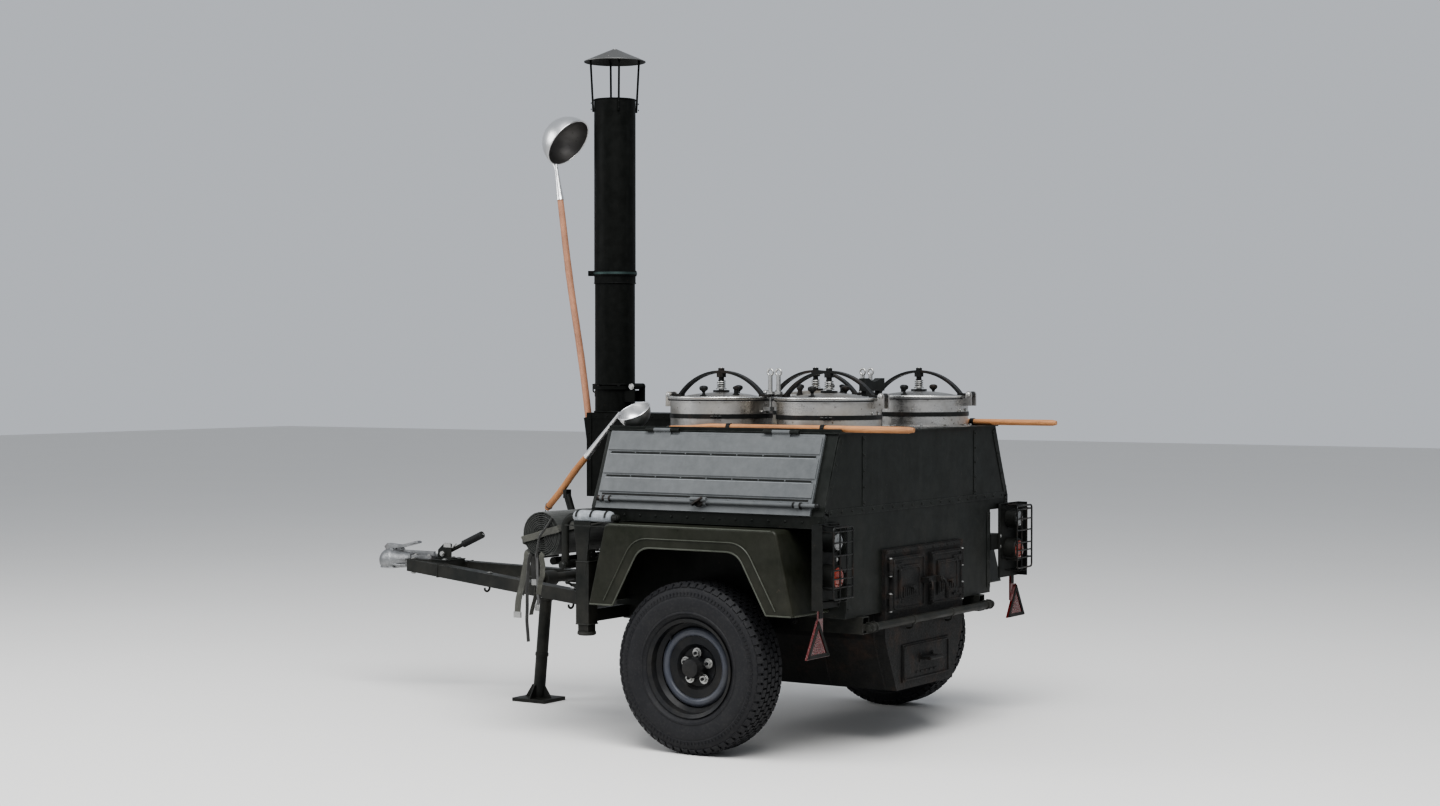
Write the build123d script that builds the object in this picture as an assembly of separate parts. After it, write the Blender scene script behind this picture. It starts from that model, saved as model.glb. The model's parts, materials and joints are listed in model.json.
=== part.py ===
from build123d import *
from math import hypot
import os

# Two-wheeled military field kitchen trailer with four boilers: millimetres, +X forward, +Z up.
# Every station along the trailer is counted from the wheel axis, on the ground, and the finished
# pieces are then moved so that the origin is on the ground below the middle of the whole trailer.

# Overall reaches from the wheel axis
FRONT_REACH = 2045.0       # nose of the coupling head
REAR_REACH = 770.0         # butt of the long handles that lie on the deck
AXLE_X = (REAR_REACH - FRONT_REACH) / 2

# Wheels
TYRE_R, TYRE_W = 300.0, 165.0
TYRE_WALL = 11.0
RIM_R = 172.0              # outer lip of the rim
BEAD_R = 163.0
HALF_TRACK = 700.0
SPINDLE_R = 20.0
RUNNING_FIT = 0.06         # radial room of a pin in its bore
NUT_CIRCLE_R, NUT_COUNT = 49.0, 5
HUB_R = 40.0
DRUM_R, DRUM_W, DRUM_T = 112.0, 48.0, 7.0

# Body
SEAT_GAP = 0.4             # between pieces that close on each other
JOIN_GAP = 0.3             # between pieces bolted or resting together
BODY_FRONT, BODY_REAR = 450.0, -500.0
DECK_Z, DECK_T = 1116.0, 4.0
DECK_HALF = 607.0          # half width at the deck
WAIST_HALF = DECK_HALF + 105        # half width where the sloping sides end
WAIST_Z, SKIRT_Z = 838.0, 795.0
CASE_HALF = 560.0          # half width between the wheels
SHEET = 3.0

# Side hatches
HATCH_FRONT, HATCH_REAR = 429.0, -454.0
HATCH_T = 14.0
HATCH_LAP = 22.0           # how far the hatch covers the edge of its opening
HATCH_HINGES_X = (205.0, -285.0)
HATCH_HINGE_LEN = 140.0
KNUCKLE_R = 7.0
HINGE_PIN_R = 3.0
HATCH_RIBS = ((14.0, 82.0), (92.0, 170.0), (180.0, 238.0))      # down the slope, from and to
LATCH_BAR_DOWN, LATCH_BAR_R = 263.0, 7.0
DECK_LIP_Y, DECK_LIP_H = DECK_HALF - 9, 12.0

# Heat casing between the boilers and the lockers
CASING_LOW_Z = 760.0

# Mudguards
GUARD_X = -15.0            # middle of the guard
GUARD_OUT = WAIST_HALF + 88
GUARD_TOP_Z, GUARD_LOW_Z = 791.0, 503.0
GUARD_TOP_HALF, GUARD_LOW_HALF = 350.0, 420.0
ARCH_TOP_Z = 712.0
ARCH_TOP_HALF, ARCH_LOW_HALF = 200.0, 315.0
GUARD_T = 3.0
GUARD_BEND, ARCH_BEND, GUARD_EDGE = 22.0, 46.0, 10.0

# Boilers
POT_R = 185.0
REST_HALF = 74.0           # half width of the saddle for the folded chimney
POT_Y = 340.0              # how far each row of boilers stands from the middle
POT_WALL = 2.5
CASING_Y = POT_Y + POT_R + 10
COLLAR_Z = 1222.0
POT_LOW_Z = 720.0
LID_R = POT_R + 9
LID_T = 3.0
LID_CROWN = 22.0
BOW_TOP_Z = 1326.0
BOW_W, BOW_T = 26.0, 9.0
LID_HINGE_OUT = POT_R + 32      # from the boiler's axis to the hinge
CLAMP_OUT = POT_R + 23          # and to the swing bolt
BOW_HALF = POT_R - 9            # half span of the bow's arc
POT_MID_X, CLAMP_SPACE = -85.0, 34.0
POT_XS = {
    "front": POT_MID_X + CLAMP_OUT + CLAMP_SPACE / 2,
    "rear": POT_MID_X - CLAMP_OUT - CLAMP_SPACE / 2,
}
LID_HINGE_Z = 1236.0
LID_PIN_R = 5.0
NUT_R, NUT_H = 8.0, 68.0        # long nut of a swing bolt
RING_R, RING_WIRE_R = 11.0, 4.0     # the ring that turns it
NUT_FIT = 1.0
FORK_W, FORK_L = 38.0, 24.0     # forked end of a bow, and its slot

# Firebox below the boilers
FIRE_FRONT = 300.0
FIRE_HALF, FIRE_LOW_HALF = 300.0, 215.0
FIRE_TOP_Z, FIRE_KNEE_Z, FIRE_LOW_Z = 700.0, 380.0, 195.0
FIRE_WALL = 4.0
FIRE_DOOR_Y = 148.0        # middle of each fire door
FIRE_DOOR_W, FIRE_DOOR_H = 240.0, 190.0
FIRE_DOOR_Z = 575.0
FIRE_DOOR_T = 12.0
DOOR_LAP = 14.0
ASH_W, ASH_H, ASH_L = 330.0, 110.0, 640.0
ASH_Z = 285.0
ASH_GAP = 6.0
GRATE_Z, GRATE_BAR, GRATE_PITCH = 384.0, 14.0, 46.0

DOOR_X = BODY_REAR - 14 - SEAT_GAP        # inner face of the closed fire doors
DOOR_PIVOT_X = DOOR_X - 8
DOOR_PIVOT_Y = FIRE_DOOR_Y + FIRE_DOOR_W / 2 + 10
DOOR_HINGE_ZS = (FIRE_DOOR_Z - 62, FIRE_DOOR_Z + 62)

# Smoke box and chimney
CHIMNEY_X = 850.0
CHIMNEY_R, CHIMNEY_WALL = 81.0, 2.5
STACK_R = CHIMNEY_R - CHIMNEY_WALL - 0.3      # lower length, which the upper one slips over
SMOKE_HALF = 100.0
SMOKE_FRONT = 915.0
SMOKE_LOW_Z, SMOKE_TOP_Z = 835.0, 1160.0
FOLD_X, FOLD_Z = CHIMNEY_X - CHIMNEY_R - 24, 1262.0
STACK_TOP_Z = 1703.0
TUBE_TOP_Z = 2382.0
CAP_Z, CAP_R = TUBE_TOP_Z + 148, CHIMNEY_R + 39
CAP_APEX_Z = CAP_Z + 50
STRUT_R = 4.0
BAND_T, BAND_H, BAND_TURN = 4.0, 20.0, 35.0    # clamp band round the joint of the chimney

# Chassis and drawbar
RAIL_Y, RAIL_W, RAIL_H = 450.0, 45.0, 60.0
RAIL_Z = 450.0
BAR_Z, BAR_W, BAR_WALL = 520.0, 50.0, 4.0
BAR_REAR_Y, BAR_FRONT_Y = 400.0, 34.0
BAR_END, NOSE_LEN = FRONT_REACH - 185, 210.0
COUPLING_Z = 530.0
BALL_X, BALL_R = FRONT_REACH - 49, 25.0
CROSS_X, CROSS_Z = 1180.0, 492.0   # cross tube that carries the prop stand

# Corner legs and prop stand
LEG_X, LEG_Y, LEG_SIDE = 452.0, WAIST_HALF + 30, 44.0
LEG_LOW_Z, LEG_TOP_Z = 385.0, 690.0
SLEEVE_T, LEG_CLEAR = 5.0, 0.5
FOOT_R = 33.0
FLARE_LOW, FLARE_LOW_Z, FLARE_TOP = 13.0, 600.0, 37.0      # bracket between a sleeve and the rack's arm
STAND_R = 24.0
STAND_LEAN = 45.0          # how far the foot stands ahead of its pivot

# Front rack and canvas roll
RACK_Y, RACK_Z = 385.0, 632.0
RACK_R = 14.0
RACK_BACK_X, ARM_Y, ARM_REAR_X = 540.0, WAIST_HALF + 38, 310.0    # cross tube, arms over the guards
ROLL_X, ROLL_Z, ROLL_R, ROLL_HALF = 650.0, 735.0, 86.0, 760.0

# Rear lamps and reflectors
LAMP_X = -505.0
LAMP_INNER, LAMP_OUTER = CASE_HALF + 60, GUARD_OUT
LAMP_LOW_Z, LAMP_HIGH_Z = 530.0, 815.0
REFLECTOR_Y, REFLECTOR_Z, REFLECTOR_SIDE = LAMP_OUTER - 35, 415.0, 150.0
REAR_RAIL_X, REAR_RAIL_Z = -545.0, 445.0

# Tools
REST_X = -295.0            # saddle for the folded chimney
LADLES = {
    "tall_ladle": dict(bowl=(1075, 0, 2225), bowl_r=104, opening=(-0.8, 0, -0.6), butt=(965, 0, 1050),
                       shank=210, shank_r=8, grip_r=14),
    "short_ladle": dict(bowl=(412, POT_Y + 165, DECK_Z + 62.3), bowl_r=62, opening=(0.1, 0.5, 0.85),
                        butt=(920, 350, 800),
                        shank=260, shank_r=7, grip_r=13),
}
PADDLE_R = 12.0
# (y, front end of the stick, length of the blade)
PADDLES = {"left_paddle": (DECK_HALF - 36, 95.0, 110.0), "right_paddle": (36 - DECK_HALF, -60.0, 110.0)}

SIDES = {"left": 1, "right": -1}
LOW = (Align.CENTER, Align.CENTER, Align.MIN)


def block(x0, x1, y0, y1, z0, z1):
    return Pos((x0 + x1) / 2, (y0 + y1) / 2, (z0 + z1) / 2) * Box(x1 - x0, y1 - y0, z1 - z0)


def side_slab(outline, y0, y1):
    """A slab over an outline of (x, z) points, from y0 to y1."""
    face = make_face(Polyline(*[(x, y0, z) for x, z in outline], close=True))
    return extrude(face, amount=y1 - y0, dir=(0, 1, 0))


def end_slab(outline, x0, x1):
    """A slab over an outline of (y, z) points, from x0 to x1."""
    face = make_face(Polyline(*[(x0, y, z) for y, z in outline], close=True))
    return extrude(face, amount=x1 - x0, dir=(1, 0, 0))


def bent_slab(outline, y0, y1, bend):
    """A side slab whose two highest corners are rounded."""
    slab = side_slab(outline, y0, y1)
    return fillet(slab.edges().filter_by(Axis.Y).sort_by(Axis.Z)[-2:], bend)


def rod(start, end, radius):
    run = Vector(*end) - Vector(*start)
    return Plane(origin=start, z_dir=run) * Cylinder(radius, run.length, align=LOW)


def square_tube(start, end, side, wall):
    """A square tube with closed ends and an upright section between two points."""
    run = Vector(*end) - Vector(*start)
    place = Plane(origin=start, x_dir=Vector(0, 0, 1).cross(run), z_dir=run)
    inside = Pos(0, 0, wall) * Box(side - 2 * wall, side - 2 * wall, run.length - 2 * wall, align=LOW)
    return place * (Box(side, side, run.length, align=LOW) - inside)


def bent_rod(points, bend, radius):
    path = FilletPolyline(*points, radius=bend)
    start = Plane(origin=points[0], z_dir=Vector(*points[1]) - Vector(*points[0]))
    return sweep(start * Circle(radius), path=path)


def cross_pin(x, y, z, radius, length):
    """A cylinder along Y, centred on the point."""
    return Pos(x, y, z) * Rot(90, 0, 0) * Cylinder(radius, length)


def fore_pin(x, y, z, radius, length):
    """A cylinder along X, centred on the point."""
    return Pos(x, y, z) * Rot(0, 90, 0) * Cylinder(radius, length)


def turned(profile, x, y, z):
    """A solid turned about a vertical axis from (radius, height) points."""
    face = make_face(Polyline(*[(r, 0, h) for r, h in profile], close=True))
    return Pos(x, y, z) * revolve(face, axis=Axis.Z)


def both(shape):
    """The shape and its mirror image on the other side."""
    return shape + mirror(shape, about=Plane.XZ)


def sided(shape, side):
    return shape if side > 0 else mirror(shape, about=Plane.XZ)


nodes = {}


def keep(name, shape):
    nodes[name] = Pos(AXLE_X, 0, 0) * shape


# Wheels: a hollow tyre on a dished disc with a hub, turned about the spindle
def tyre():
    half = TYRE_W / 2

    def section(inset):
        shoulder = (half - 22 - inset, TYRE_R - 12 - inset)
        belly = (half - inset, 232)
        bead = (half - 24 - inset, BEAD_R)
        crown = (0, TYRE_R - inset)
        points = [(-bead[0], bead[1]), (-belly[0], belly[1]), (-shoulder[0], shoulder[1])]
        side_a = ThreePointArc((0, *points[0]), (0, *points[1]), (0, *points[2]))
        tread = ThreePointArc((0, *points[2]), (0, *crown), (0, *shoulder))
        side_b = ThreePointArc((0, *shoulder), (0, *belly), (0, *bead))
        base = Line((0, *bead), (0, *points[0]))
        return revolve(make_face([side_a, tread, side_b, base]), axis=Axis.Y)

    hollow = section(TYRE_WALL) - Rot(90, 0, 0) * Cylinder(BEAD_R + 6, TYRE_W)
    return section(0) - hollow - Rot(90, 0, 0) * Cylinder(BEAD_R + 0.2, TYRE_W)


def rim():
    # (y from the wheel's middle, radius), outwards is +y
    seat, well = BEAD_R - 0.3, BEAD_R - 18
    tyre_side = [(-68, RIM_R), (-61.5, seat), (-42, seat - 3), (-28, well), (24, well), (38, seat - 3),
                 (61.5, seat), (68, RIM_R)]
    hub_side = [(-72, RIM_R), (-65, seat - 4), (-43, seat - 7), (-29, well - 4), (25, well - 4),
                (39, seat - 7), (65, seat - 4), (72, RIM_R)]
    bore = SPINDLE_R + RUNNING_FIT
    face = [(12, well - 3.5), (24, 118), (20, 80), (6, 68), (6, 36), (44, 36)]
    back = [(-40, HUB_R), (-4, HUB_R), (-2, 72), (13, 84), (17, 116), (5, well - 3.5)]
    wheel = None
    for outline in (tyre_side + hub_side[::-1], face + [(44, bore), (-40, bore)] + back):
        sheet = revolve(make_face(Polyline(*[(0, y, r) for y, r in outline], close=True)), axis=Axis.Y)
        wheel = sheet if wheel is None else wheel + sheet
    for turn in range(NUT_COUNT):
        place = Rot(0, 360 / NUT_COUNT * turn, 0) * Pos(0, 4, NUT_CIRCLE_R) * Rot(-90, 0, 0)
        wheel += place * extrude(RegularPolygon(11, 6), amount=22)
    cap = Cylinder(SPINDLE_R + 12, 22, align=LOW) - Cylinder(SPINDLE_R + 8, 18, align=LOW)
    return wheel + Pos(0, 42, 0) * Rot(-90, 0, 0) * cap


def brake_drum():
    face_y, open_y = -4 - JOIN_GAP, -4 - DRUM_W
    outline = [(face_y, HUB_R + JOIN_GAP), (face_y, DRUM_R), (open_y, DRUM_R), (open_y, DRUM_R + 4),
               (open_y - 4, DRUM_R + 4), (open_y - 4, DRUM_R - DRUM_T), (face_y - 5, DRUM_R - DRUM_T),
               (face_y - 5, HUB_R + JOIN_GAP)]
    return revolve(make_face(Polyline(*[(0, y, r) for y, r in outline], close=True)), axis=Axis.Y)


for name, side in SIDES.items():
    hub = Pos(0, side * HALF_TRACK, TYRE_R)
    keep(f"tyre_{name}", hub * sided(tyre(), side))
    keep(f"rim_{name}", hub * sided(rim(), side))
    keep(f"brake_drum_{name}", hub * sided(brake_drum(), side))


# Half axles: a torsion tube under each rail, a trailing arm and the wheel's spindle
def half_axle():
    tube_x, tube_z = 140.0, 385.0
    arm_y = CASE_HALF + 22
    tube = cross_pin(tube_x, (RAIL_Y - 60 + arm_y) / 2, tube_z, 33, arm_y - RAIL_Y + 60)
    saddle = block(tube_x - 60, tube_x + 60, RAIL_Y - 35, RAIL_Y + 35, tube_z, RAIL_Z - RAIL_H / 2)
    arm = side_slab([(tube_x + 42, tube_z - 34), (tube_x + 42, tube_z + 34), (tube_x - 20, tube_z + 40),
                     (-34, TYRE_R + 30), (-34, TYRE_R - 30), (20, TYRE_R - 34)], arm_y - 12, arm_y + 14)
    spindle = cross_pin(0, (arm_y + HALF_TRACK + 38) / 2, TYRE_R, SPINDLE_R, HALF_TRACK + 38 - arm_y)
    plate = cross_pin(0, HALF_TRACK - DRUM_W - 18, TYRE_R, DRUM_R + 2, 4)
    return tube + saddle + arm + spindle + plate


for name, side in SIDES.items():
    keep(f"half_axle_{name}", sided(half_axle(), side))


# Chassis: two rails, cross members and the outriggers that carry the corner legs
def chassis_frame():
    low, high = RAIL_Z - RAIL_H / 2, RAIL_Z + RAIL_H / 2
    rail = block(BODY_REAR - 20, BODY_FRONT + 30, RAIL_Y - RAIL_W / 2, RAIL_Y + RAIL_W / 2, low, high)
    hollow = block(BODY_REAR - 21, BODY_FRONT + 31, RAIL_Y - RAIL_W / 2 + 4, RAIL_Y + RAIL_W / 2 - 4,
                   low + 4, high - 4)
    frame = both(rail - hollow)
    reach = RAIL_Y + RAIL_W / 2
    for x0, x1 in ((BODY_FRONT + 5, BODY_FRONT + 30), (FIRE_FRONT + 12, FIRE_FRONT + 52)):
        frame += block(x0, x1, -reach, reach, low + 6, high - 6)
    return frame


keep("chassis_frame", chassis_frame())


# Body: a sheet casing with sloping sides, cut for the hatches, with the firebox through its floor
def section_outline(inset):
    low = RAIL_Z + RAIL_H / 2 + JOIN_GAP
    return [(CASE_HALF - inset, low + inset), (CASE_HALF - inset, SKIRT_Z + inset),
            (WAIST_HALF - inset, SKIRT_Z + inset), (WAIST_HALF - inset, WAIST_Z),
            (DECK_HALF - inset, DECK_Z - DECK_T)]


def across(outline):
    return outline + [(-y, z) for y, z in reversed(outline)]


SLOPE_RUN = hypot(WAIST_HALF - DECK_HALF, DECK_Z - DECK_T - WAIST_Z)
SLOPE_OUT = (WAIST_HALF - DECK_HALF) / SLOPE_RUN      # outward share of a step down the slope
SLOPE_DOWN = (DECK_Z - DECK_T - WAIST_Z) / SLOPE_RUN


def on_slope(down, out):
    """The (y, z) point that lies a distance down the sloping side and out from it."""
    y = DECK_HALF + SLOPE_OUT * down + SLOPE_DOWN * out
    z = DECK_Z - DECK_T - SLOPE_DOWN * down + SLOPE_OUT * out
    return y, z


def body_shell():
    outer = end_slab(across(section_outline(0)), BODY_REAR, BODY_FRONT)
    inner = end_slab(across(section_outline(SHEET)), BODY_REAR + SHEET, BODY_FRONT - SHEET)
    top_open = block(BODY_REAR + 25, BODY_FRONT - 25, 25 - DECK_HALF, DECK_HALF - 25, DECK_Z - 40,
                     DECK_Z + 5)
    shell = outer - inner - top_open
    top, low = HATCH_LAP + 12, SLOPE_RUN - HATCH_LAP
    cut = end_slab([on_slope(top, 20), on_slope(top, -20), on_slope(low, -20), on_slope(low, 20)],
                   HATCH_REAR + HATCH_LAP, HATCH_FRONT - HATCH_LAP)
    shell -= both(cut)
    room = FIRE_HALF + JOIN_GAP
    shell -= block(BODY_REAR - 5, FIRE_FRONT + JOIN_GAP, -room, room, RAIL_Z, FIRE_TOP_Z + JOIN_GAP)
    smoke = block(BODY_FRONT - 5, BODY_FRONT + 5, 12 - SMOKE_HALF, SMOKE_HALF - 12, SMOKE_LOW_Z + 12,
                  SMOKE_TOP_Z - 60)
    return shell - smoke


keep("body_shell", body_shell())


def hatch_pivot():
    return on_slope(2.0, HATCH_T + 4)


def deck_plate():
    deck = block(BODY_REAR - 8, BODY_FRONT, -DECK_HALF - 8, DECK_HALF + 8, DECK_Z - DECK_T, DECK_Z)
    for x in POT_XS.values():
        for side in SIDES.values():
            deck -= Pos(x, side * POT_Y, DECK_Z) * Cylinder(POT_R + 1, 30)
    y, z = hatch_pivot()
    for x in HATCH_HINGES_X:
        fixed = fore_pin(x, y, z, HINGE_PIN_R, HATCH_HINGE_LEN)
        for end in (-1, 1):
            mid = x + end * (HATCH_HINGE_LEN * 0.375 + 0.5)
            fixed += fore_pin(mid, y, z, KNUCKLE_R, HATCH_HINGE_LEN / 4)
            fixed += Pos(mid, (DECK_HALF + y) / 2, DECK_Z - 1) * Box(HATCH_HINGE_LEN / 4, y - DECK_HALF, 6)
        deck += both(fixed)
    return deck + both(block(BODY_REAR - 8, BODY_FRONT, DECK_LIP_Y, DECK_LIP_Y + 6, DECK_Z,
                             DECK_Z + DECK_LIP_H))


keep("deck_plate", deck_plate())


def heat_casing():
    wall, top = CASE_HALF - SHEET - JOIN_GAP, DECK_Z - DECK_T - JOIN_GAP
    bend = WAIST_Z - 8
    outline = [(wall - SHEET, CASING_LOW_Z), (wall, CASING_LOW_Z), (wall, bend),
               (CASING_Y + SHEET, bend + 70),
               (CASING_Y + SHEET, top), (CASING_Y, top), (CASING_Y, bend + 70), (wall - SHEET, bend)]
    inset = SHEET + JOIN_GAP
    return both(end_slab(outline, BODY_REAR + inset, BODY_FRONT - inset))


keep("heat_casing", heat_casing())


# Hatches: a ribbed panel on each sloping side, hung from its top edge
def hatch():
    top, low = 6.0, SLOPE_RUN + 2
    skin = end_slab([on_slope(top, SEAT_GAP), on_slope(top, HATCH_T - 4), on_slope(low, HATCH_T - 4),
                     on_slope(low, SEAT_GAP)],
                    HATCH_REAR, HATCH_FRONT)
    for first, last in HATCH_RIBS:
        skin += end_slab([on_slope(first, HATCH_T - 5), on_slope(first + 5, HATCH_T),
                          on_slope(last - 5, HATCH_T),
                          on_slope(last, HATCH_T - 5)], HATCH_REAR + 5, HATCH_FRONT - 5)
    mid = (HATCH_FRONT + HATCH_REAR) / 2
    bar_y, bar_z = on_slope(LATCH_BAR_DOWN, HATCH_T + 6)
    reach = HATCH_FRONT - 12 - (HATCH_REAR - 28)
    skin += fore_pin(HATCH_FRONT - 12 - reach / 2, bar_y, bar_z, LATCH_BAR_R, reach)
    for x, half in ((HATCH_FRONT - 50, 9), (mid, 26), (HATCH_REAR + 50, 9)):
        skin += end_slab([on_slope(LATCH_BAR_DOWN - 14, HATCH_T - 5),
                          on_slope(LATCH_BAR_DOWN - 9, HATCH_T + 10),
                          on_slope(LATCH_BAR_DOWN + 9, HATCH_T + 10),
                          on_slope(LATCH_BAR_DOWN + 14, HATCH_T - 5)],
                         x - half, x + half)
    grip_y, grip_z = on_slope(LATCH_BAR_DOWN - 6, HATCH_T + 16)
    return skin + fore_pin(mid, grip_y, grip_z, 8, 64)


for name, side in SIDES.items():
    py, pz = hatch_pivot()
    panel = hatch()
    for x in HATCH_HINGES_X:
        strap = end_slab([on_slope(0, HATCH_T - 5), on_slope(0, HATCH_T + 3), on_slope(40, HATCH_T - 1),
                          on_slope(40, HATCH_T - 5)],
                         x - HATCH_HINGE_LEN / 4, x + HATCH_HINGE_LEN / 4)
        panel += strap + fore_pin(x, py, pz, KNUCKLE_R, HATCH_HINGE_LEN / 2)
    for x in HATCH_HINGES_X:
        panel -= fore_pin(x, py, pz, HINGE_PIN_R + RUNNING_FIT, HATCH_HINGE_LEN)
    keep(f"hatch_{name}", sided(panel, side))


# Mudguards
def mudguard():
    def outline(top_half, low_half, top_z, low_z):
        return [(GUARD_X - low_half, low_z), (GUARD_X - top_half, top_z), (GUARD_X + top_half, top_z),
                (GUARD_X + low_half, low_z)]

    def rolled(slab, radius):
        """The slab with the edges of its outer face rounded, except the lowest."""
        return fillet(slab.faces().sort_by(Axis.Y)[-1].edges().sort_by(Axis.Z)[1:], radius)

    t = GUARD_T
    whole = bent_slab(outline(GUARD_TOP_HALF, GUARD_LOW_HALF, GUARD_TOP_Z, GUARD_LOW_Z),
                      CASE_HALF + JOIN_GAP, GUARD_OUT, GUARD_BEND)
    under = bent_slab(outline(GUARD_TOP_HALF - t, GUARD_LOW_HALF - t, GUARD_TOP_Z - t, GUARD_LOW_Z - 1),
                      CASE_HALF, GUARD_OUT - t, GUARD_BEND - t)
    arch = bent_slab(outline(ARCH_TOP_HALF, ARCH_LOW_HALF, ARCH_TOP_Z, GUARD_LOW_Z - 1), CASE_HALF,
                     GUARD_OUT + 1, ARCH_BEND)
    return rolled(whole, GUARD_EDGE) - rolled(under, GUARD_EDGE - t) - arch


for name, side in SIDES.items():
    keep(f"mudguard_{name}", sided(mudguard(), side))


# Boilers with their lids, bows and clamps
def pot(x, y, hinge):
    profile = [(0, POT_LOW_Z), (POT_R - 45, POT_LOW_Z), (POT_R, POT_LOW_Z + 45), (POT_R, COLLAR_Z - 8),
               (POT_R + 5, COLLAR_Z - 8), (POT_R + 5, COLLAR_Z), (POT_R - POT_WALL, COLLAR_Z),
               (POT_R - POT_WALL, POT_LOW_Z + 46), (POT_R - 46, POT_LOW_Z + POT_WALL),
               (0, POT_LOW_Z + POT_WALL)]
    cup = turned(profile, x, y, 0)
    cup += Pos(x, y, DECK_Z + 0.3) * (Cylinder(POT_R + 14, 4, align=LOW) - Cylinder(POT_R - 1, 4, align=LOW))
    pivot = x + hinge * LID_HINGE_OUT
    for step in (-1, 1):
        mid = y + step * (BOW_W / 2 + 5)
        ear = block(min(x + hinge * (POT_R - 1), pivot + hinge * 12),
                    max(x + hinge * (POT_R - 1), pivot + hinge * 12),
                    mid - 4, mid + 4, LID_HINGE_Z - 42, LID_HINGE_Z - 14)
        ear += cross_pin(pivot, mid, LID_HINGE_Z, 12, 8)
        ear += block(pivot - 12, pivot + 12, mid - 4, mid + 4, LID_HINGE_Z - 40, LID_HINGE_Z)
        cup += ear
    cup += cross_pin(pivot, y, LID_HINGE_Z, LID_PIN_R, BOW_W + 20)
    return cup


def dome(radius, base, rise):
    """An arc in the XZ plane from the rim to the axis, with its centre on the axis."""
    ball = (radius ** 2 + rise ** 2) / (2 * rise)
    centre = base + rise - ball
    half = radius / 2
    return ThreePointArc((radius, 0, base), (half, 0, centre + (ball ** 2 - half ** 2) ** 0.5),
                         (0, 0, base + rise))


def lid(x, y):
    low = COLLAR_Z + SEAT_GAP
    top = dome(LID_R - 24, low + LID_T, LID_CROWN)
    under = dome(LID_R - 26, low, LID_CROWN)
    edge = Polyline(under @ 0, (LID_R, 0, low), (LID_R, 0, low + 9), (LID_R - 5, 0, low + 9),
                    (LID_R - 5, 0, low + LID_T), top @ 0)
    return Pos(x, y, 0) * revolve(make_face([top, Line(top @ 1, under @ 1), under, edge]), axis=Axis.Z)


def bow(x, y, hinge):
    rise = BOW_TOP_Z - LID_HINGE_Z - BOW_T / 2
    path = ThreePointArc((-BOW_HALF, 0, 0), (0, 0, rise), (BOW_HALF, 0, 0))
    start = Plane(origin=path @ 0, x_dir=(0, 1, 0), z_dir=path % 0)
    arch = sweep(start * Rectangle(BOW_W, BOW_T), path=path)
    clamp_end, eye_end = -hinge * (CLAMP_OUT + 8), hinge * LID_HINGE_OUT
    for end in (clamp_end, eye_end):
        inner = BOW_HALF - 9 if end > 0 else 9 - BOW_HALF
        arch += block(min(end, inner), max(end, inner), -BOW_W / 2, BOW_W / 2, -BOW_T / 2, BOW_T / 2)
    arch += cross_pin(eye_end, 0, 0, 11, BOW_W)
    arch -= cross_pin(eye_end, 0, 0, LID_PIN_R + RUNNING_FIT, BOW_W + 2)
    root = clamp_end + hinge * (FORK_L + 12)
    arch += block(min(clamp_end, root), max(clamp_end, root), -FORK_W / 2, FORK_W / 2, -BOW_T / 2, BOW_T / 2)
    slot, gap = clamp_end + hinge * FORK_L, NUT_R + NUT_FIT
    arch -= block(min(clamp_end - hinge * 2, slot), max(clamp_end - hinge * 2, slot), -gap, gap, -20, 20)
    boss_low = COLLAR_Z + SEAT_GAP + LID_T + LID_CROWN - LID_HINGE_Z + 0.3
    screw = Pos(0, 0, boss_low) * Cylinder(10, rise + 12 - boss_low, align=LOW)
    screw += Pos(0, 0, boss_low) * Cylinder(30, 7, align=LOW)
    screw += Pos(0, 0, rise - 20) * Cylinder(17, 18, align=LOW)
    screw += Pos(0, 0, rise + 3) * extrude(RegularPolygon(13, 6), amount=10)
    return Pos(x, y, LID_HINGE_Z) * (arch + screw)


def swing_bolt(x, y, hinge):
    at = x - hinge * CLAMP_OUT
    seat = LID_HINGE_Z + BOW_T / 2 + SEAT_GAP
    bolt = Pos(at, y, LID_HINGE_Z - 48) * Cylinder(5, 58 + NUT_H, align=LOW)
    near, far = sorted((at - hinge * 7, x - hinge * (POT_R + JOIN_GAP)))
    lug = block(near, far, y - 14, y + 14, LID_HINGE_Z - 54, LID_HINGE_Z - 40)
    nut = Pos(at, y, seat) * (Cylinder(FORK_W / 2 - 4, 10, align=LOW) + Cylinder(NUT_R, NUT_H, align=LOW))
    ring = Pos(at, y, seat + NUT_H + RING_R) * Rot(90, 0, 0) * Torus(RING_R, RING_WIRE_R)
    return bolt + lug + nut + ring


clamps = None
for row, x in POT_XS.items():
    hinge = 1 if row == "front" else -1
    for name, side in SIDES.items():
        y = side * POT_Y
        keep(f"pot_{row}_{name}", pot(x, y, hinge))
        keep(f"lid_{row}_{name}", lid(x, y))
        keep(f"bow_{row}_{name}", bow(x, y, hinge))
        bolt = swing_bolt(x, y, hinge)
        clamps = bolt if clamps is None else clamps + bolt
keep("swing_bolts", clamps)


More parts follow.
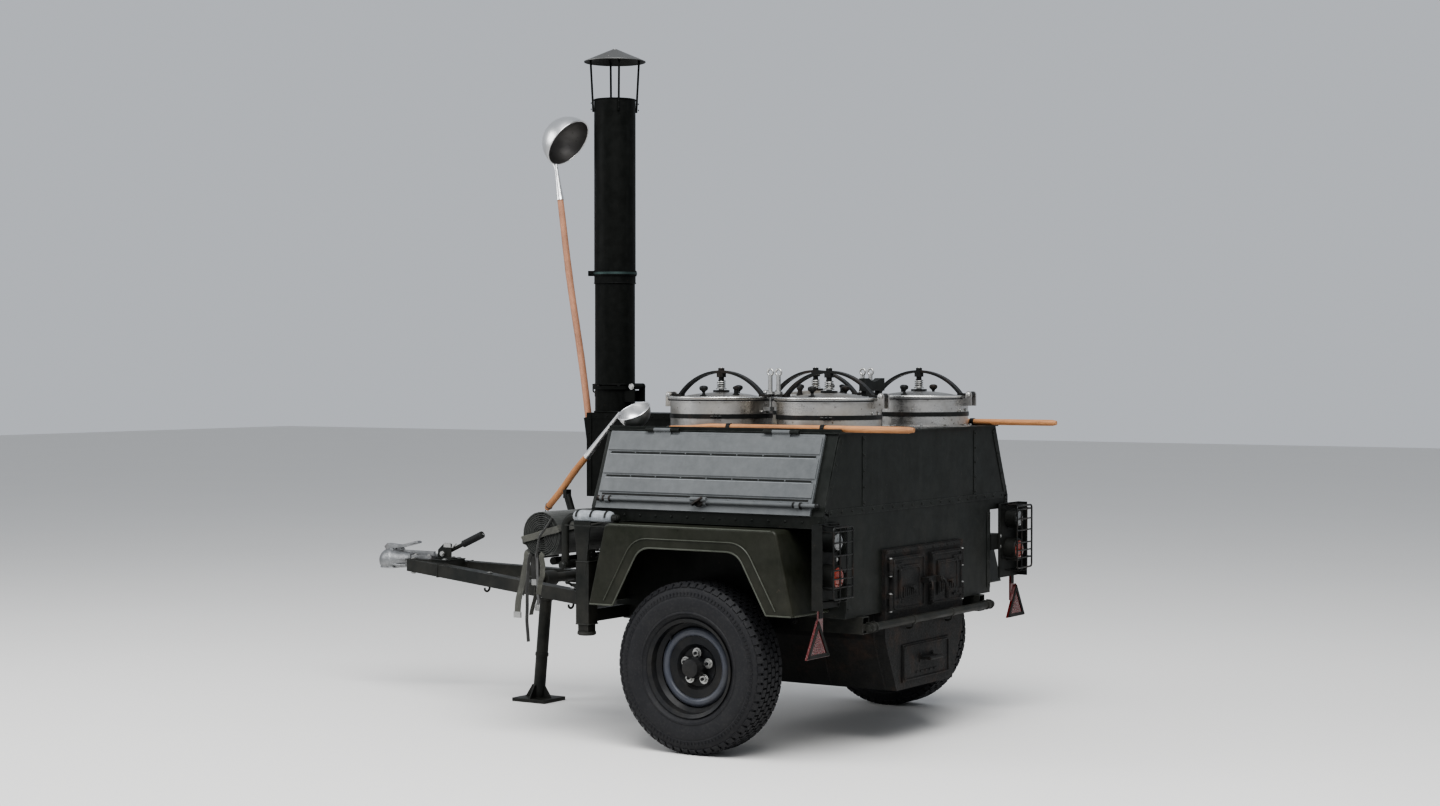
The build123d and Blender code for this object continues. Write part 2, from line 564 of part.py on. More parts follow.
# Firebox: a hopper through the floor, open at the rear for two fire doors and the ash drawer
def firebox():
    def outline(inset):
        return across([(FIRE_LOW_HALF - inset, FIRE_LOW_Z + inset),
                       (FIRE_HALF - inset, FIRE_KNEE_Z + inset / 2),
                       (FIRE_HALF - inset, FIRE_TOP_Z - inset)])

    box = end_slab(outline(0), BODY_REAR - 14, FIRE_FRONT)
    box -= end_slab(outline(FIRE_WALL), BODY_REAR - 14 + FIRE_WALL, FIRE_FRONT - FIRE_WALL)
    for side in SIDES.values():
        mouth = Box(40, FIRE_DOOR_W - 2 * DOOR_LAP, FIRE_DOOR_H - 2 * DOOR_LAP)
        box -= Pos(BODY_REAR - 12, side * FIRE_DOOR_Y, FIRE_DOOR_Z) * mouth
    box -= Pos(BODY_REAR - 12, 0, ASH_Z) * Box(40, ASH_W + 2 * ASH_GAP, ASH_H + 2 * ASH_GAP)
    for side in SIDES.values():
        for z in DOOR_HINGE_ZS:
            box += Pos(DOOR_PIVOT_X, side * DOOR_PIVOT_Y, z) * Cylinder(4, 58)
            for step in (-1, 1):
                box += Pos(DOOR_PIVOT_X, side * DOOR_PIVOT_Y, z + step * 21.5) * Cylinder(8, 15)
                lug = block(DOOR_PIVOT_X - 4, BODY_REAR - 12, DOOR_PIVOT_Y - 2, DOOR_PIVOT_Y + 7,
                            z + step * 21.5 - 7.5, z + step * 21.5 + 7.5)
                box += sided(lug, side)
    shelf = block(BODY_REAR - 12, FIRE_FRONT - 2, -FIRE_LOW_HALF + 6, FIRE_LOW_HALF - 6,
                  ASH_Z - ASH_H / 2 - 4 - ASH_GAP / 2, ASH_Z - ASH_H / 2 - ASH_GAP / 2)
    return box + shelf


keep("firebox", firebox())

for name, side in SIDES.items():
    outer_y = FIRE_DOOR_Y + FIRE_DOOR_W / 2
    leaf = block(DOOR_X - FIRE_DOOR_T, DOOR_X, FIRE_DOOR_Y - FIRE_DOOR_W / 2, outer_y,
                 FIRE_DOOR_Z - FIRE_DOOR_H / 2, FIRE_DOOR_Z + FIRE_DOOR_H / 2)
    leaf += block(DOOR_X - FIRE_DOOR_T - 5, DOOR_X, FIRE_DOOR_Y - 80, FIRE_DOOR_Y + 80, FIRE_DOOR_Z - 62,
                  FIRE_DOOR_Z + 62)
    pull = block(DOOR_X - 44, DOOR_X - 6, FIRE_DOOR_Y - FIRE_DOOR_W / 2 + 12,
                 FIRE_DOOR_Y - FIRE_DOOR_W / 2 + 24, FIRE_DOOR_Z - 10, FIRE_DOOR_Z + 10)
    leaf += pull
    for z in DOOR_HINGE_ZS:
        leaf += Pos(DOOR_PIVOT_X, DOOR_PIVOT_Y, z) * Cylinder(8, 26)
        leaf += block(DOOR_X - 13, DOOR_X - 3, outer_y - 30, DOOR_PIVOT_Y, z - 13, z + 13)
        leaf -= Pos(DOOR_PIVOT_X, DOOR_PIVOT_Y, z) * Cylinder(4 + RUNNING_FIT, 30)
    keep(f"fire_door_{name}", sided(leaf, side))

def fire_grate():
    reach = FIRE_HALF - FIRE_WALL - JOIN_GAP
    rear, front = BODY_REAR - 14 + FIRE_WALL + JOIN_GAP, FIRE_FRONT - FIRE_WALL - JOIN_GAP
    grate = None
    for x in (rear + 60, (rear + front) / 2, front - 60):
        bearer = block(x - 12, x + 12, -reach, reach, GRATE_Z, GRATE_Z + 8)
        grate = bearer if grate is None else grate + bearer
    count = int((2 * reach - GRATE_BAR) / GRATE_PITCH)
    for k in range(count + 1):
        y = (k - count / 2) * GRATE_PITCH
        grate += block(rear, front, y - GRATE_BAR / 2, y + GRATE_BAR / 2, GRATE_Z + 7, GRATE_Z + 18)
    return grate


keep("fire_grate", fire_grate())

tray = block(BODY_REAR - 10, BODY_REAR - 10 + ASH_L, -ASH_W / 2, ASH_W / 2, ASH_Z - ASH_H / 2,
             ASH_Z + ASH_H / 2)
tray -= block(BODY_REAR - 6, BODY_REAR - 14 + ASH_L, 3 - ASH_W / 2, ASH_W / 2 - 3, ASH_Z - ASH_H / 2 + 3,
              ASH_Z + ASH_H)
tray += block(DOOR_X - 5, DOOR_X, -ASH_W / 2 - 14, ASH_W / 2 + 14, ASH_Z - ASH_H / 2 - 10,
              ASH_Z + ASH_H / 2 + 14)
tray += block(DOOR_X, BODY_REAR - 6, -ASH_W / 2, ASH_W / 2, ASH_Z - ASH_H / 2, ASH_Z + ASH_H / 2)
tray += block(DOOR_X - 40, DOOR_X - 4, -50, 50, ASH_Z + 6, ASH_Z + 16)
keep("ash_drawer", tray)


def ladle_line(bowl, bowl_r, opening, butt):
    """Where a ladle's shank leaves the rim of its bowl, and its direction to the butt."""
    run = (Vector(*butt) - Vector(*bowl)).normalized()
    lean = Vector(*opening).normalized()
    edge = (run - lean * run.dot(lean)).normalized()
    foot = Vector(*bowl) + edge * (bowl_r - 1)
    return foot, (Vector(*butt) - foot).normalized()


# Smoke box between the body and the chimney
def smoke_box():
    duct = block(BODY_FRONT + 0.3, SMOKE_FRONT, -SMOKE_HALF, SMOKE_HALF, SMOKE_LOW_Z, SMOKE_TOP_Z)
    duct -= block(BODY_FRONT - 5, SMOKE_FRONT - 4, 4 - SMOKE_HALF, SMOKE_HALF - 4, SMOKE_LOW_Z + 4,
                  SMOKE_TOP_Z - 4)
    neck_top = FOLD_Z - 5 - SEAT_GAP
    duct += Pos(CHIMNEY_X, 0, SMOKE_TOP_Z - 2) * Cylinder(STACK_R, neck_top - SMOKE_TOP_Z + 2, align=LOW)
    duct += Pos(CHIMNEY_X, 0, neck_top - 6) * Cylinder(STACK_R + 10, 6, align=LOW)
    duct -= Pos(CHIMNEY_X, 0, SMOKE_TOP_Z - 10) * Cylinder(STACK_R - CHIMNEY_WALL, 200, align=LOW)
    for y in (-34, 34):
        duct += block(FOLD_X - 12, CHIMNEY_X - STACK_R + 8, y - 4, y + 4, FOLD_Z - 60, FOLD_Z - 16)
        duct += block(FOLD_X - 12, FOLD_X + 12, y - 4, y + 4, FOLD_Z - 40, FOLD_Z)
        duct += cross_pin(FOLD_X, y, FOLD_Z, 12, 8)
    duct += cross_pin(FOLD_X, 0, FOLD_Z, LID_PIN_R, 76)
    tall = LADLES["tall_ladle"]
    foot, line = ladle_line(tall["bowl"], tall["bowl_r"], tall["opening"], tall["butt"])
    butt, grip_r = Vector(*tall["butt"]), tall["grip_r"]
    low, high = tuple(butt + line * 4), tuple(butt - line * 90)
    cup = rod(low, high, grip_r + 4)
    cup -= rod(tuple(butt + line * JOIN_GAP), tuple(butt - line * 100), grip_r + JOIN_GAP)
    arm = block(SMOKE_FRONT - 2, butt.X - grip_r - 1, -6, 6, butt.Z + 10, butt.Z + 60)
    return duct + cup + arm


keep("smoke_box", smoke_box())


# Chimney: two lengths, four stays and a shallow cone
def stack_lower():
    low = FOLD_Z - 5
    tube = Pos(CHIMNEY_X, 0, low) * Cylinder(STACK_R, STACK_TOP_Z - low, align=LOW)
    tube += Pos(CHIMNEY_X, 0, low) * Cylinder(STACK_R + 10, 6, align=LOW)
    tube -= Pos(CHIMNEY_X, 0, low - 1) * Cylinder(STACK_R - CHIMNEY_WALL, STACK_TOP_Z - low + 2, align=LOW)
    arm = block(FOLD_X, CHIMNEY_X - STACK_R + 4, -28, 28, FOLD_Z - 4, FOLD_Z + 12)
    arm += cross_pin(FOLD_X, 0, FOLD_Z, 11, 56)
    return tube + arm - cross_pin(FOLD_X, 0, FOLD_Z, LID_PIN_R + RUNNING_FIT, 80)


keep("chimney_lower", stack_lower())
upper = Pos(CHIMNEY_X, 0, STACK_TOP_Z - 40) * Cylinder(CHIMNEY_R, TUBE_TOP_Z - STACK_TOP_Z + 40, align=LOW)
bore = Cylinder(CHIMNEY_R - CHIMNEY_WALL, TUBE_TOP_Z - STACK_TOP_Z + 42, align=LOW)
upper -= Pos(CHIMNEY_X, 0, STACK_TOP_Z - 41) * bore
band = Cylinder(CHIMNEY_R + BAND_T, BAND_H) - Cylinder(CHIMNEY_R - 1, BAND_H + 2)
band = Pos(CHIMNEY_X, 0, STACK_TOP_Z) * band
ears = Pos(CHIMNEY_R + 12, 6, 0) * Box(24, 4, BAND_H) + Pos(CHIMNEY_R + 12, -6, 0) * Box(24, 4, BAND_H)
ears += Pos(CHIMNEY_R + 15, 0, 0) * Rot(90, 0, 0) * (Cylinder(4, 34) + Pos(0, 0, 11) * Cylinder(8, 6))
keep("chimney_upper", upper + band + Pos(CHIMNEY_X, 0, STACK_TOP_Z) * Rot(0, 0, BAND_TURN) * ears)

cone = turned([(0, CAP_APEX_Z), (CAP_R, CAP_Z), (CAP_R, CAP_Z - 3), (CAP_R - 4, CAP_Z - 3),
               (0, CAP_APEX_Z - 5)], CHIMNEY_X, 0, 0)
for turn in range(4):
    place = Pos(CHIMNEY_X, 0, 0) * Rot(0, 0, 45 + 90 * turn)
    cone += place * rod((CHIMNEY_R + STRUT_R + 0.3, 0, TUBE_TOP_Z - 50), (CAP_R - 24, 0, CAP_Z + 6), STRUT_R)
keep("rain_cap", cone)


# Drawbar, coupling head, handbrake
def drawbar():
    start = BODY_FRONT + 31
    arm = square_tube((start, BAR_REAR_Y, RAIL_Z), (BAR_END, BAR_FRONT_Y, BAR_Z), BAR_W, BAR_WALL)
    arm -= block(0, BODY_FRONT + 30 + JOIN_GAP, -900, 900, 300, 700)
    frame = both(arm)
    share = (CROSS_X - start) / (BAR_END - start)
    half = BAR_REAR_Y + (BAR_FRONT_Y - BAR_REAR_Y) * share
    frame += cross_pin(CROSS_X, 0, CROSS_Z, 19, 2 * half - 20)
    half = BAR_FRONT_Y + BAR_W / 2 + 1
    frame += block(BAR_END - NOSE_LEN, BAR_END, -half, half, BAR_Z - BAR_W / 2, BAR_Z + BAR_W / 2)
    return frame - block(BAR_END, BAR_END + BAR_W, -half - BAR_W, half + BAR_W, BAR_Z - BAR_W, BAR_Z + BAR_W)


keep("drawbar", drawbar())


def coupling_head():
    top, low = BAR_Z + BAR_W / 2 + JOIN_GAP, BAR_Z - BAR_W / 2
    neck = Cone(40, 30, BALL_X - 14 - BAR_END - 1, align=LOW)
    head = Pos(BALL_X - 14, 0, COUPLING_Z + 6) * Rot(0, -90, 0) * neck
    head += Pos(BALL_X, 0, COUPLING_Z) * Sphere(FRONT_REACH - BALL_X)
    head -= block(BALL_X - 60, BALL_X + 60, -60, 60, COUPLING_Z - 90, COUPLING_Z - 29)
    flange = block(BAR_END + JOIN_GAP, BAR_END + 12, -38, 38, low, top + 18)
    saddle = block(BAR_END - 110, BAR_END + 12, -34, 34, top, top + 14)
    web = block(BAR_END - 100, BALL_X - 30, -6, 6, top + 10, top + 30)
    z = COUPLING_Z
    lever = side_slab([(BALL_X - 30, z + 36), (BALL_X + 16, z + 38), (BALL_X + 27, z + 56),
                       (BALL_X + 12, z + 70), (BALL_X - 60, z + 66), (BALL_X - 150, z + 86),
                       (BALL_X - 157, z + 76), (BALL_X - 66, z + 54), (BALL_X - 34, z + 52)], -11, 11)
    socket = Pos(BALL_X, 0, COUPLING_Z - 30) * Cylinder(BALL_R + 0.5, 46, align=LOW)
    return head + flange + saddle + web + lever - socket


keep("coupling_head", coupling_head())


def handbrake():
    """A lever beside a toothed quadrant on a base that is bolted to the drawbar's front plate."""
    base_x, low = BAR_END - 155, BAR_Z + BAR_W / 2 + JOIN_GAP
    tip = Vector(BAR_END - 350, 0, 655)
    pivot = Vector(base_x, 0, low + 24)
    back = (pivot - tip).normalized()
    lever = rod(tuple(pivot), tuple(tip), 8) + rod(tuple(tip + back * 105), tuple(tip), 14)
    base = block(base_x - 45, base_x + 35, -20, 20, low, low + 8)
    quadrant = side_slab([(base_x - 40, low), (base_x + 30, low), (base_x + 26, low + 40),
                          (base_x - 4, low + 66), (base_x - 44, low + 66)], 9, 14)
    return lever + base + quadrant + cross_pin(base_x, 0, low + 24, 14, 34)


keep("handbrake_lever", handbrake())


# Prop stand on the drawbar
stand_top = CROSS_Z
stand = rod((CROSS_X, 0, stand_top), (CROSS_X + STAND_LEAN, 0, 14), STAND_R)
stand += cross_pin(CROSS_X, 0, stand_top, 32, 70) - cross_pin(CROSS_X, 0, stand_top, 19 + RUNNING_FIT, 72)
stand -= cross_pin(CROSS_X, 0, stand_top, 19 + RUNNING_FIT, 72)
stand += block(CROSS_X + STAND_LEAN - 80, CROSS_X + STAND_LEAN + 80, -70, 70, 0, 14)
keep("prop_stand", stand)


# Corner legs: square tubes that slide down in sleeves on outriggers
def leg():
    post = block(LEG_X - LEG_SIDE / 2, LEG_X + LEG_SIDE / 2, LEG_Y - LEG_SIDE / 2, LEG_Y + LEG_SIDE / 2,
                 LEG_LOW_Z + 12, LEG_TOP_Z)
    foot = Pos(LEG_X, LEG_Y, LEG_LOW_Z) * Cylinder(FOOT_R, 14, align=LOW)
    return post + fillet(foot.edges().sort_by(Axis.Z)[0], 6)


def leg_sleeve():
    out = LEG_SIDE / 2 + LEG_CLEAR + SLEEVE_T
    inner = LEG_SIDE / 2 + LEG_CLEAR
    tube = block(LEG_X - out, LEG_X + out, LEG_Y - out, LEG_Y + out, RAIL_Z - 26, 650)
    arm = block(BODY_FRONT + 5, BODY_FRONT + 24, RAIL_Y + RAIL_W / 2 + JOIN_GAP, LEG_Y - inner, RAIL_Z - 22,
                RAIL_Z + 22)
    top = GUARD_TOP_Z - SEAT_GAP
    flare = side_slab([(LEG_X - FLARE_LOW, FLARE_LOW_Z), (LEG_X + FLARE_LOW, FLARE_LOW_Z),
                       (LEG_X + FLARE_TOP, top),
                       (LEG_X - FLARE_TOP, top)], LEG_Y + inner + 1, LEG_Y + out + 1)
    flare += block(LEG_X - FLARE_TOP, LEG_X + FLARE_TOP, LEG_Y - 10, LEG_Y + out, top - 5, top)
    tube -= block(LEG_X - inner, LEG_X + inner, LEG_Y - inner, LEG_Y + inner, 400, 720)
    return tube + arm + flare


for name, side in SIDES.items():
    keep(f"corner_leg_{name}", sided(leg(), side))
keep("leg_sleeves", both(leg_sleeve()))


# Front rack with the strapped canvas roll
def front_rack():
    tip_x, tip_z = ROLL_X + 150, RACK_Z + 225
    arm_z = GUARD_TOP_Z + RACK_R + JOIN_GAP
    side = bent_rod([(BODY_FRONT + 16, RACK_Y, RACK_Z), (ROLL_X + 70, RACK_Y, RACK_Z),
                     (tip_x, RACK_Y, tip_z)], 60, RACK_R)
    side += block(BODY_FRONT + JOIN_GAP, BODY_FRONT + 16, RACK_Y - 40, RACK_Y + 40, RACK_Z - 40, RACK_Z + 40)
    side += bent_rod([(ARM_REAR_X, ARM_Y, arm_z), (RACK_BACK_X, ARM_Y, arm_z),
                      (RACK_BACK_X, ARM_Y, RACK_Z - 2)],
                     40, RACK_R)
    rack = both(side) + cross_pin(RACK_BACK_X, 0, RACK_Z, RACK_R + 1.5, 2 * ARM_Y + 40)
    rack += cross_pin(ROLL_X + 20, 0, RACK_Z, RACK_R, 2 * ROLL_HALF - 220)
    return rack + rack_fork(tip_x, tip_z)


def rack_fork(x, low):
    """A pad on the left upright that the grip of the short ladle lies on."""
    short = LADLES["short_ladle"]
    foot, line = ladle_line(short["bowl"], short["bowl_r"], short["opening"], short["butt"])
    under = foot + line * ((x + 7 - foot.X) / line.X)
    drop = short["grip_r"] / hypot(line.X, line.Y) + JOIN_GAP
    return block(x - 7, x + 7, RACK_Y - 16, RACK_Y + 16, low - 12, under.Z - drop)


keep("front_rack", front_rack())
keep("canvas_roll", cross_pin(ROLL_X, 0, ROLL_Z, ROLL_R, 2 * ROLL_HALF))


# Rear lamp boards, lamps, reflectors and rail
def lamp_board():
    plate = block(LAMP_X - 4, LAMP_X, LAMP_INNER, LAMP_OUTER - 4, LAMP_LOW_Z, LAMP_HIGH_Z)
    edge = block(LAMP_X - 40, LAMP_X, LAMP_OUTER - 8, LAMP_OUTER - 4, LAMP_LOW_Z, LAMP_HIGH_Z)
    stay = block(LAMP_X, BODY_REAR + 30, CASE_HALF + 0.3, LAMP_INNER + 20, 640, 700)
    return plate + edge + stay


keep("lamp_boards", both(lamp_board()))
lamps = None
for z, r in ((755.0, 34.0), (635.0, 42.0)):
    one = fore_pin(LAMP_X - 4.3 - 20, (LAMP_INNER + LAMP_OUTER) / 2 - 6, z, r, 40)
    lamps = one if lamps is None else lamps + one
keep("tail_lamps", both(lamps))

half = REFLECTOR_SIDE / 2
tri = [(REFLECTOR_Y - half, REFLECTOR_Z - half * 0.6), (REFLECTOR_Y + half, REFLECTOR_Z - half * 0.6),
       (REFLECTOR_Y, REFLECTOR_Z + half * 1.1)]
reflector = end_slab(tri, LAMP_X - 8, LAMP_X)
reflector += block(LAMP_X - 3, LAMP_X + 3, REFLECTOR_Y - 40, REFLECTOR_Y - 10, REFLECTOR_Z + 20,
                   LAMP_LOW_Z - 0.3)
keep("rear_reflectors", both(reflector))

rail = cross_pin(REAR_RAIL_X, 0, REAR_RAIL_Z, 14, 2 * RAIL_Y + 60)
rail += both(block(REAR_RAIL_X, BODY_REAR - 20 - JOIN_GAP, RAIL_Y - RAIL_W / 2, RAIL_Y + RAIL_W / 2,
                   REAR_RAIL_Z - 12, REAR_RAIL_Z + 12))
keep("rear_rail", rail)


# Kitchen tools carried on the trailer
def ladle(bowl, bowl_r, opening, butt, shank, shank_r, grip_r):
    """A bowl that opens towards a direction, a steel shank from its rim and a wooden grip."""
    cup = Sphere(bowl_r) - Sphere(bowl_r - 2) - Pos(0, 0, bowl_r) * Box(3 * bowl_r, 3 * bowl_r, 2 * bowl_r)
    cup = Plane(origin=bowl, z_dir=opening) * cup
    foot, line = ladle_line(bowl, bowl_r, opening, butt)
    steel = rod(tuple(foot), tuple(foot + line * shank), shank_r)
    grip = rod(tuple(foot + line * (shank + 0.3)), butt, grip_r)
    return cup + steel, grip


for name, values in LADLES.items():
    head, grip = ladle(**values)
    keep(f"{name}_head", head)
    keep(f"{name}_grip", grip)

for name, (y, front, blade) in PADDLES.items():
    z = DECK_Z + 0.3 + PADDLE_R
    stick = fore_pin((front - REAR_REACH) / 2, y, z, PADDLE_R, front + REAR_REACH)
    stick += block(front - 20, front + blade, y - 26, y + 26, z - 9, z + 7)
    keep(name, stick)


def chimney_rest():
    low = FOLD_Z + CHIMNEY_X - FOLD_X - CHIMNEY_R - SEAT_GAP
    saddle = block(REST_X - 12, REST_X + 12, -REST_HALF, REST_HALF, low - 34, low + 12)
    saddle -= fore_pin(REST_X, 0, low + CHIMNEY_R + SEAT_GAP, CHIMNEY_R + SEAT_GAP, 40)
    for y in (-50, 50):
        saddle += block(REST_X - 10, REST_X + 10, y - 10, y + 10, DECK_Z + 0.3, low - 30)
    return saddle + block(REST_X - 30, REST_X + 30, -70, 70, DECK_Z + 0.3, DECK_Z + 5)


keep("chimney_rest", chimney_rest())

os.makedirs("parts", exist_ok=True)
for name, shape in nodes.items():
    export_step(shape, f"parts/{name}.step")
print(len(nodes), "pieces")
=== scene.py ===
import bmesh
import bpy
import json
import random
from math import copysign, cos, exp, hypot, pi, radians, sin, tau
from mathutils import Matrix, Vector, noise

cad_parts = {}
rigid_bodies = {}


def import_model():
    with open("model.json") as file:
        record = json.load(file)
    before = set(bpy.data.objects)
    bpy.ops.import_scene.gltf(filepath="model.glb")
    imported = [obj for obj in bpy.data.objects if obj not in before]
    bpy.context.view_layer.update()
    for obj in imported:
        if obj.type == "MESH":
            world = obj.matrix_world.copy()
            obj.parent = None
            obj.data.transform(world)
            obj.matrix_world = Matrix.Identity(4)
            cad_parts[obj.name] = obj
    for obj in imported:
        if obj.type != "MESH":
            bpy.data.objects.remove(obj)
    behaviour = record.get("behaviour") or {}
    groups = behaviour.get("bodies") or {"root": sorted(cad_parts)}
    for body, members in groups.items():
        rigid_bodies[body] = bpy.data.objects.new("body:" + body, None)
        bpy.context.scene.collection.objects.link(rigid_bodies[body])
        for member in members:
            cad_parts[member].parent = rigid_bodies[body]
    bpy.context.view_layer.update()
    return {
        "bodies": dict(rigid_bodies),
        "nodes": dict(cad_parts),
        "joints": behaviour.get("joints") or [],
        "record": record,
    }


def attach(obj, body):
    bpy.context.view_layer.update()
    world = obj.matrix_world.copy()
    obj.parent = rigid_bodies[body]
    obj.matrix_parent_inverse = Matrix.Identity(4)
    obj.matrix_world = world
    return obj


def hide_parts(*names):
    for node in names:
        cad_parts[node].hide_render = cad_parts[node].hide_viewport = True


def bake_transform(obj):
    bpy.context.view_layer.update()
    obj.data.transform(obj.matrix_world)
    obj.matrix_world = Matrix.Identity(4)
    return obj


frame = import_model()
nodes = frame["nodes"]
sides = {"left": 1, "right": -1}
axisX, axisY, axisZ = Vector((1, 0, 0)), Vector((0, 1, 0)), Vector((0, 0, 1))
print("frame loaded:", len(nodes), "nodes")


# Angles that share out one turn
def circleAngles(count):
    return [tau * k / count for k in range(count)]


# Small helpers for shader trees. A socket knows the tree it is in
def newMaterial(name):
    mat = bpy.data.materials.new(name)
    mat.use_nodes = True
    return mat, mat.node_tree, mat.node_tree.nodes["Principled BSDF"]


def feed(socket, value):
    if isinstance(value, bpy.types.NodeSocket):
        socket.id_data.links.new(value, socket)
    elif hasattr(value, "__len__") and len(value) == 3 and socket.type == "RGBA":
        socket.default_value = (*value, 1.0)
    else:
        socket.default_value = value


def feedAll(node, values):
    for name, value in values.items():
        feed(node.inputs[name], value)


def stretched(coord, stretch):
    mapping = coord.id_data.nodes.new("ShaderNodeMapping")
    feedAll(mapping, {"Vector": coord, "Scale": stretch})
    return mapping.outputs["Vector"]


def objectPlace(tree, stretch=None):
    coord = tree.nodes.new("ShaderNodeTexCoord").outputs["Object"]
    return stretched(coord, stretch) if stretch else coord


def uvPlace(tree, stretch=(1, 1, 1)):
    return stretched(tree.nodes.new("ShaderNodeTexCoord").outputs["UV"], stretch)


def cloud(place, scale, detail=4.0, rough=0.55, warp=0.0):
    tex = place.id_data.nodes.new("ShaderNodeTexNoise")
    feedAll(tex, {"Vector": place, "Scale": scale, "Detail": detail, "Roughness": rough, "Distortion": warp})
    return tex.outputs["Fac"]


def between(value, low, high, start=0.0, end=1.0):
    node = value.id_data.nodes.new("ShaderNodeMapRange")
    feedAll(node, {"Value": value, "From Min": low, "From Max": high, "To Min": start, "To Max": end})
    return node.outputs["Result"]


# Noise of which the band from low to high runs from start to end
def patches(place, scale, detail, rough, low, high, start=0.0, end=1.0, warp=0.0):
    return between(cloud(place, scale, detail, rough, warp), low, high, start, end)


def mixTone(factor, first, second):
    node = factor.id_data.nodes.new("ShaderNodeMix")
    node.data_type = "RGBA"
    feedAll(node, {"Factor": factor, "A": first, "B": second})
    return node.outputs["Result"]


def sums(operation, first, second):
    node = first.id_data.nodes.new("ShaderNodeMath")
    node.operation = operation
    feed(node.inputs[0], first)
    feed(node.inputs[1], second)
    return node.outputs["Value"]


def bump(height, distance, strength=1.0, below=None):
    node = height.id_data.nodes.new("ShaderNodeBump")
    feedAll(node, {"Strength": strength, "Distance": distance, "Height": height})
    if below is not None:
        feed(node.inputs["Normal"], below)
    return node.outputs["Normal"]


def heightOf(tree):
    split = tree.nodes.new("ShaderNodeSeparateXYZ")
    feed(split.inputs["Vector"], objectPlace(tree))
    return split.outputs["Z"]


# The share of an edge that is made bright, as rubbed wear and painted highlight, from how far a rounded
# normal leans
def edgeMask(tree, radius):
    soft = tree.nodes.new("ShaderNodeBevel")
    soft.samples = 4
    feed(soft.inputs["Radius"], radius)
    lean = tree.nodes.new("ShaderNodeVectorMath")
    lean.operation = "DOT_PRODUCT"
    feed(lean.inputs[0], soft.outputs["Normal"])
    feed(lean.inputs[1], tree.nodes.new("ShaderNodeNewGeometry").outputs["Normal"])
    return between(lean.outputs["Value"], 0.985, 0.80)


# Finishes
# Old brushed or sprayed paint: cloudy tone, rain streaks, road dust low down, chips, and edges lightened as
# rubbed wear and painted highlight
def painted(name, tone, shade, rough=0.42, dust=0.5, streaks=0.4, chips=0.4, edge=0.0,
            bare=(0.055, 0.04, 0.03), shine=0.3):
    mat, tree, shader = newMaterial(name)
    place = objectPlace(tree)
    colour = mixTone(patches(place, 2.6, 5, 0.62, 0.32, 0.7), shade, tone)
    fine = patches(place, 34, 6, 0.65, 0.35, 0.8, 0, 0.35)
    colour = mixTone(fine, colour, [min(1, c * 1.7 + 0.01) for c in tone])
    run = patches(objectPlace(tree, (26, 26, 1.3)), 1.0, 4, 0.7, 0.52, 0.78, 0, streaks)
    colour = mixTone(run, colour, [c * 0.75 + 0.012 for c in tone])
    low = between(heightOf(tree), 1.0, 0.25, 0.12, 1.0)
    dusty = sums("MULTIPLY", patches(place, 7, 6, 0.7, 0.38, 0.72, 0, dust), low)
    colour = mixTone(dusty, colour, (0.075, 0.068, 0.056))
    chip = patches(place, 62, 5, 0.62, 0.705 - 0.05 * chips, 0.735 - 0.04 * chips, warp=0.5)
    # edges made lighter: partly rubbed paint, partly painted highlight
    if edge > 0:
        rubbedAndHighlit = sums("MULTIPLY", edgeMask(tree, 0.004), patches(place, 40, 4, 0.7, 0.38, 0.6, 0, edge))
        colour = mixTone(rubbedAndHighlit, colour, [c * 1.8 + 0.09 for c in tone])
    gloss = patches(place, 11, 5, 0.6, 0.3, 0.75, rough - 0.09, rough + 0.13)
    dents = bump(cloud(place, 3.4, 2, 0.4), 0.012, 0.35)
    peel = bump(cloud(place, 260, 3, 0.5), 0.0006, 0.25, dents)
    feedAll(shader, {"Base Color": mixTone(sums("MULTIPLY", chip, chips), colour, bare),
                     "Roughness": sums("ADD", gloss, sums("MULTIPLY", dusty, 0.3)),
                     "Normal": bump(sums("MULTIPLY", chip, -1.0), 0.0006, chips, peel),
                     "Specular IOR Level": shine})
    return mat


# Bare metal with brushed grain, stains, dark spots and, on the boilers, a tint of heat
def bareSteel(name, tone, rough=0.3, stain=0.5, brush=(1.5, 1.5, 60), heat=0.0):
    mat, tree, shader = newMaterial(name)
    place = objectPlace(tree)
    marks = patches(place, 5, 7, 0.7, 0.42, 0.72, 0, stain, warp=0.6)
    colour = mixTone(marks, tone, [c * 0.42 for c in tone])
    spots = patches(place, 60, 3, 0.6, 0.64, 0.74, 0, stain)
    colour = mixTone(spots, colour, (0.05, 0.042, 0.036))
    if heat > 0:
        colour = mixTone(patches(place, 3, 3, 0.5, 0.45, 0.7, 0, heat), colour, (0.42, 0.33, 0.2))
    grain = cloud(objectPlace(tree, brush), 14, 4, 0.7)
    gloss = between(grain, 0.3, 0.8, rough - 0.08, rough + 0.12)
    dents = bump(cloud(place, 9, 3, 0.5), 0.006, 0.3)
    feedAll(shader, {"Base Color": colour, "Metallic": 1.0,
                     "Roughness": sums("ADD", gloss, sums("MULTIPLY", marks, 0.35)),
                     "Normal": bump(grain, 0.0004, 0.25, dents)})
    return mat


# Pitted iron that rusts in patches, where it is no longer metal
def castMetal(name, tone, rough, metal, rust):
    mat, tree, shader = newMaterial(name)
    place = objectPlace(tree)
    pits = cloud(place, 150, 4, 0.65)
    rusty = patches(place, 12, 6, 0.7, 0.5, 0.7, 0, rust)
    colour = mixTone(patches(place, 20, 5, 0.6, 0.35, 0.7), [c * 0.6 for c in tone], tone)
    feedAll(shader, {"Base Color": mixTone(rusty, colour, (0.075, 0.035, 0.018)),
                     "Metallic": between(rusty, 0, 1, metal, 0.0),
                     "Roughness": between(pits, 0.3, 0.8, rough - 0.1, rough + 0.2),
                     "Normal": bump(pits, 0.0012, 0.5), "Specular IOR Level": 0.3})
    return mat


